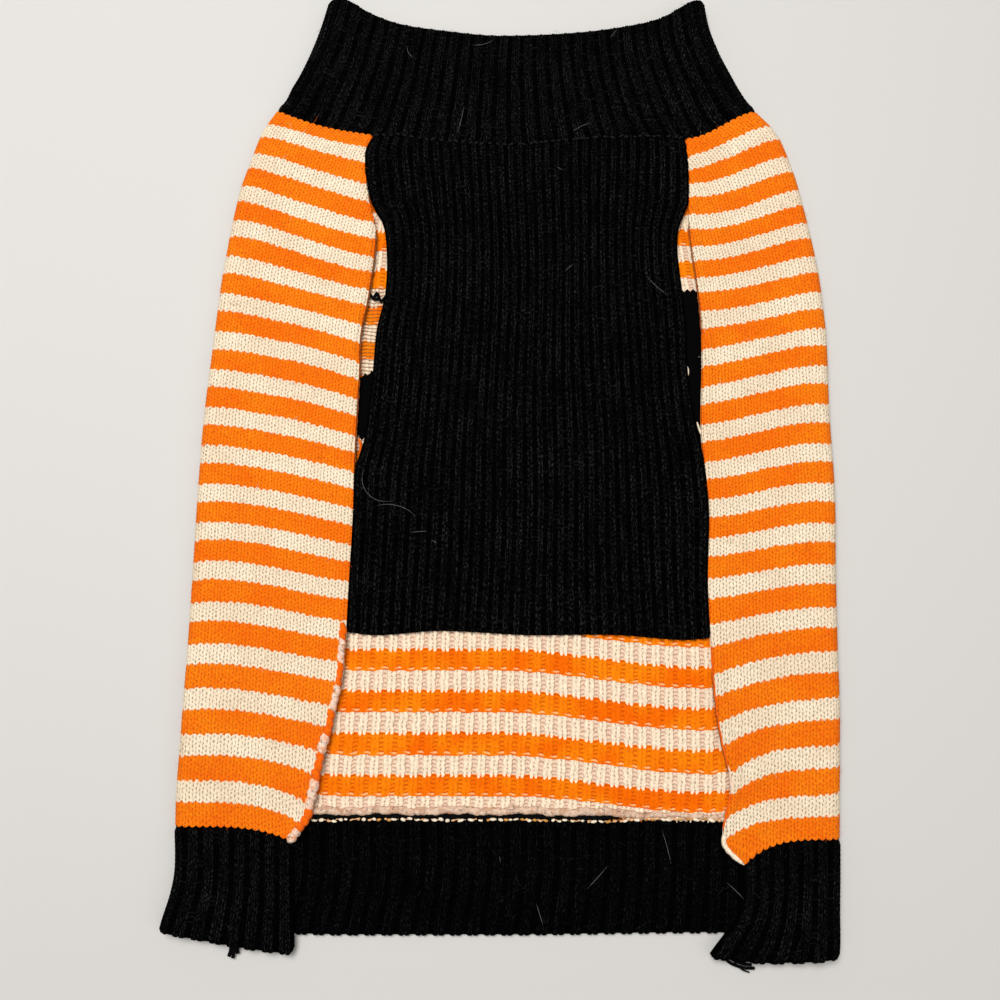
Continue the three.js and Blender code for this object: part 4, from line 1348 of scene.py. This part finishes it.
def edge_lines(materials):
    """Thin yarn along the sides' edges, and thin dark strands beside them as painted shadow."""
    strands = {kind: [] for kind in materials}
    for left, first, last, inset, height, radius, kind in EDGE_LINES:
        stripe = np.linspace(first, last, int((last - first) * 8) + 2)
        path = edge_points(left, stripe, inset, height)
        path[:, 0] += 0.12 * np.sin(stripe * 9.0)
        ends = np.sqrt(np.clip(np.minimum(stripe - first, last - stripe) * 4, 0.04, 1))
        strands[kind].append(strand(path, radius * ends * (1 + 0.15 * np.sin(stripe * 23.0))))
    by_colour("edge_line", strands, materials)


def curve_through(points, height, count):
    """A smooth path through points given as X and Y."""
    rows = table(("x", "y"), points)
    rows["at"] = np.arange(len(points), dtype=float)
    place = sample(rows, np.linspace(0, len(points) - 1, count))
    return stacked(place["x"], place["y"], height)


def leg_hole_stitches(materials):
    strands = {kind: [] for kind in materials}
    for kind, radius, points in STITCHES:
        t = np.linspace(-1, 1, 4 * len(points))
        path = curve_through(points, STITCH_HEIGHT, len(t))
        strands[kind].append(strand(path, radius * taper(t ** 4, 0.08), sides=8))
    by_colour("leg_hole_stitches", strands, materials)


def thread_ends(material):
    ends = [strand(curve_through(points, THREAD_HEIGHT, 14), radius) for radius, points in THREAD_ENDS]
    build("thread_ends", ends, material, "black_rib")


def hairs(material):
    """Stray pale hairs on the black ribs."""
    strands = []
    for hair in each(HAIRS):
        t = np.linspace(0, 1, 12)
        angle = np.radians(hair["heading"] + hair["turn"] * t)
        step = hair["length"] / (len(t) - 1)
        x, y = (step * np.concatenate([[0], np.cumsum(turn(angle[:-1]))]) for turn in (np.cos, np.sin))
        path = stacked(hair["x"] + x, hair["y"] + y, hair["z"] + 0.25 * np.sin(np.pi * t))
        thick = HAIR_RADIUS * np.clip(4 * np.minimum(t, 1 - t), 0.3, 1)
        strands.append(strand(path, thick, sides=4))
    build("stray_hairs", strands, material, "cream_yarn")


def read(items, name, width, kind=float):
    """One attribute of a mesh's points or corners, width numbers each."""
    values = np.empty(len(items) * width, kind)
    items.foreach_get(name, values)
    return values.reshape(-1, width)


def surface_points(obj):
    """Where a piece's points are in mm, their normals and their knit coordinates."""
    mesh = obj.data
    coords = np.empty((len(mesh.vertices), 2))
    corners = read(mesh.loops, "vertex_index", 1, int)[:, 0]
    coords[corners] = read(mesh.uv_layers["knit"].data, "uv", 2)
    return read(mesh.vertices, "co", 3) / MM, read(mesh.vertices, "normal", 3), coords


def fibres(rng, places, normals, count):
    """Short fibres that leave a surface, bend over and lie nearly along it."""
    strands = []
    for k in rng.choice(len(places), count, replace=False):
        sideways = np.cross(normals[k], rng.normal(size=3))
        sideways /= np.linalg.norm(sideways)
        bend = np.cross(normals[k], sideways)
        t = np.linspace(0, 1, 5)[:, None]
        length = rng.uniform(FUZZ["short"], FUZZ["long"])
        lift = rng.uniform(0.3, 1.0) * FUZZ["lift"] * np.sin(0.8 * np.pi * t)
        path = places[k] + sideways * length * t + normals[k] * lift
        path = path + bend * rng.normal(0, 0.5) * length * t ** 2
        path[:, 2] = np.maximum(path[:, 2], 0.1)
        strands.append(strand(path, FUZZ["radius"], sides=3))
    return strands


def fuzz(rng, ribs, sides, materials):
    """Loose fibres over the ribs and the striped sides, each in the colour of its root."""
    pale = []
    for obj in ribs:
        places, normals, _ = surface_points(obj)
        seen = np.flatnonzero(normals[:, 2] > 0.3)
        pale += fibres(rng, places[seen], normals[seen], FUZZ["ribs"])
    build("rib_fuzz", pale, materials["grey"], "black_rib")
    strands = {"cream": [], "orange": []}
    for obj in sides:
        places, normals, coords = surface_points(obj)
        band = np.mod(coords[:, 1] / (2 * COURSES_A_STRIPE), 1)
        is_cream = (band > CREAM_FROM) & (band < CREAM_TO)
        for kind, wanted in (("cream", is_cream), ("orange", ~is_cream)):
            seen = np.flatnonzero(wanted & (normals[:, 2] > -0.3) & (places[:, 2] > 1.0))
            strands[kind] += fibres(rng, places[seen], normals[seen], FUZZ["sides"] // 2)
    by_colour("side_fuzz", strands, {kind: materials[kind] for kind in strands})


# Camera, floor and lights

def camera():
    """Over the hem side, looking down and a little towards the collar."""
    data = bpy.data.cameras.new("view_camera")
    data.lens = CAMERA["lens"]
    data.sensor_width = 36.0
    data.clip_start = 0.01
    obj = add_object("view_camera", data)
    obj.location = tuple(CAMERA[axis] * MM for axis in "xyz")
    obj.rotation_euler = (math.radians(CAMERA["tilt"]), 0.0, 0.0)
    bpy.context.scene.camera = obj


def floor():
    corners = [(x * FLOOR, y * FLOOR, 0) for x, y in ((-1, -1), (1, -1), (1, 1), (-1, 1))]
    mesh = bpy.data.meshes.new("floor")
    mesh.from_pydata(corners, [], [(0, 1, 2, 3)])
    g = Graph("pale_floor")
    g.link(FLOOR_PALE, g.shader.inputs["Base Color"])
    g.link(0.7, g.shader.inputs["Roughness"])
    mesh.materials.append(g.material)
    add_object("floor", mesh)


def lights():
    world = bpy.data.worlds.new("soft_world")
    world.use_nodes = True
    sky = world.node_tree.nodes["Background"].inputs
    sky["Color"].default_value = (*SKY_WHITE, 1.0)
    sky["Strength"].default_value = WORLD_LIGHT
    bpy.context.scene.world = world
    for name, place, size, energy in LAMPS:
        data = bpy.data.lights.new(name, "AREA")
        data.shape = "SQUARE"
        data.size = size
        data.energy = energy
        lamp = add_object(name, data)
        lamp.location = place
        lamp.rotation_euler = (-Vector(place)).to_track_quat("-Z", "Y").to_euler()
    bpy.context.scene.view_settings.view_transform = "Standard"


def main():
    rng = np.random.default_rng(7)
    camera()
    floor()
    lights()
    stripes = stripes_material("striped_right_side")
    black = rib_material("black_ribbing")
    above, below = purl_material("striped_wrong_side_above", True), purl_material("striped_wrong_side", False)
    back_layer("back_upper", 0, WINDOW_COURSE, 2, UPPER_MARKS, above)
    back_layer("back_window", WINDOW_COURSE, COURSES, 3, WINDOW_MARKS, below)
    sides = [back_side("back_left", True, stripes), back_side("back_right", False, stripes)]
    ribs = [belly(black), collar(black), waistband(rib_material("black_waist_ribbing", 0.45))]
    yarns = {
        "cream": plain_yarn("cream_stitch", CREAM),
        "peach": plain_yarn("peach_stitch", PEACH),
        "orange": plain_yarn("orange_stitch", ORANGE_DEEP),
        "pinkish": plain_yarn("pinkish_cream", PINKISH_CREAM),
        # Dark strands of painted shadow along the edges
        "dark": plain_yarn("painted_edge_shadow", EDGE_SHADOW),
        "black": plain_yarn("black_seam", BLACK, 0.0),
        "grey": plain_yarn("grey_fibre", FIBRE_GREY, 0.0),
        "amber": plain_yarn("amber_stitch", AMBER),
    }

    def some(*kinds):
        return {kind: yarns[kind] for kind in kinds}

    seam_ridge(plain_yarn("ridge_yarn", RIDGE_CREAM, 0.02, RIDGE_PATCH))
    seam_cord(yarns["black"])
    seam_beads(rng, some("cream", "peach", "amber"))
    collar_stitches(rng, plain_yarn("black_stitch", STITCH_BLACK, 0.0))
    rolled = plain_yarn("rolled_cream", PINKISH_CREAM, 0.02, PEACH_PATCH)
    edge_roll(rng, {"cream": rolled, "orange": yarns["orange"]})
    edge_lines(some("dark", "orange", "pinkish", "cream"))
    leg_hole_stitches(some("black", "cream", "orange"))
    thread_ends(yarns["black"])
    hairs(plain_yarn("pale_hair", HAIR_GREY, 0.0))
    fuzz(rng, ribs, sides, yarns)


main()
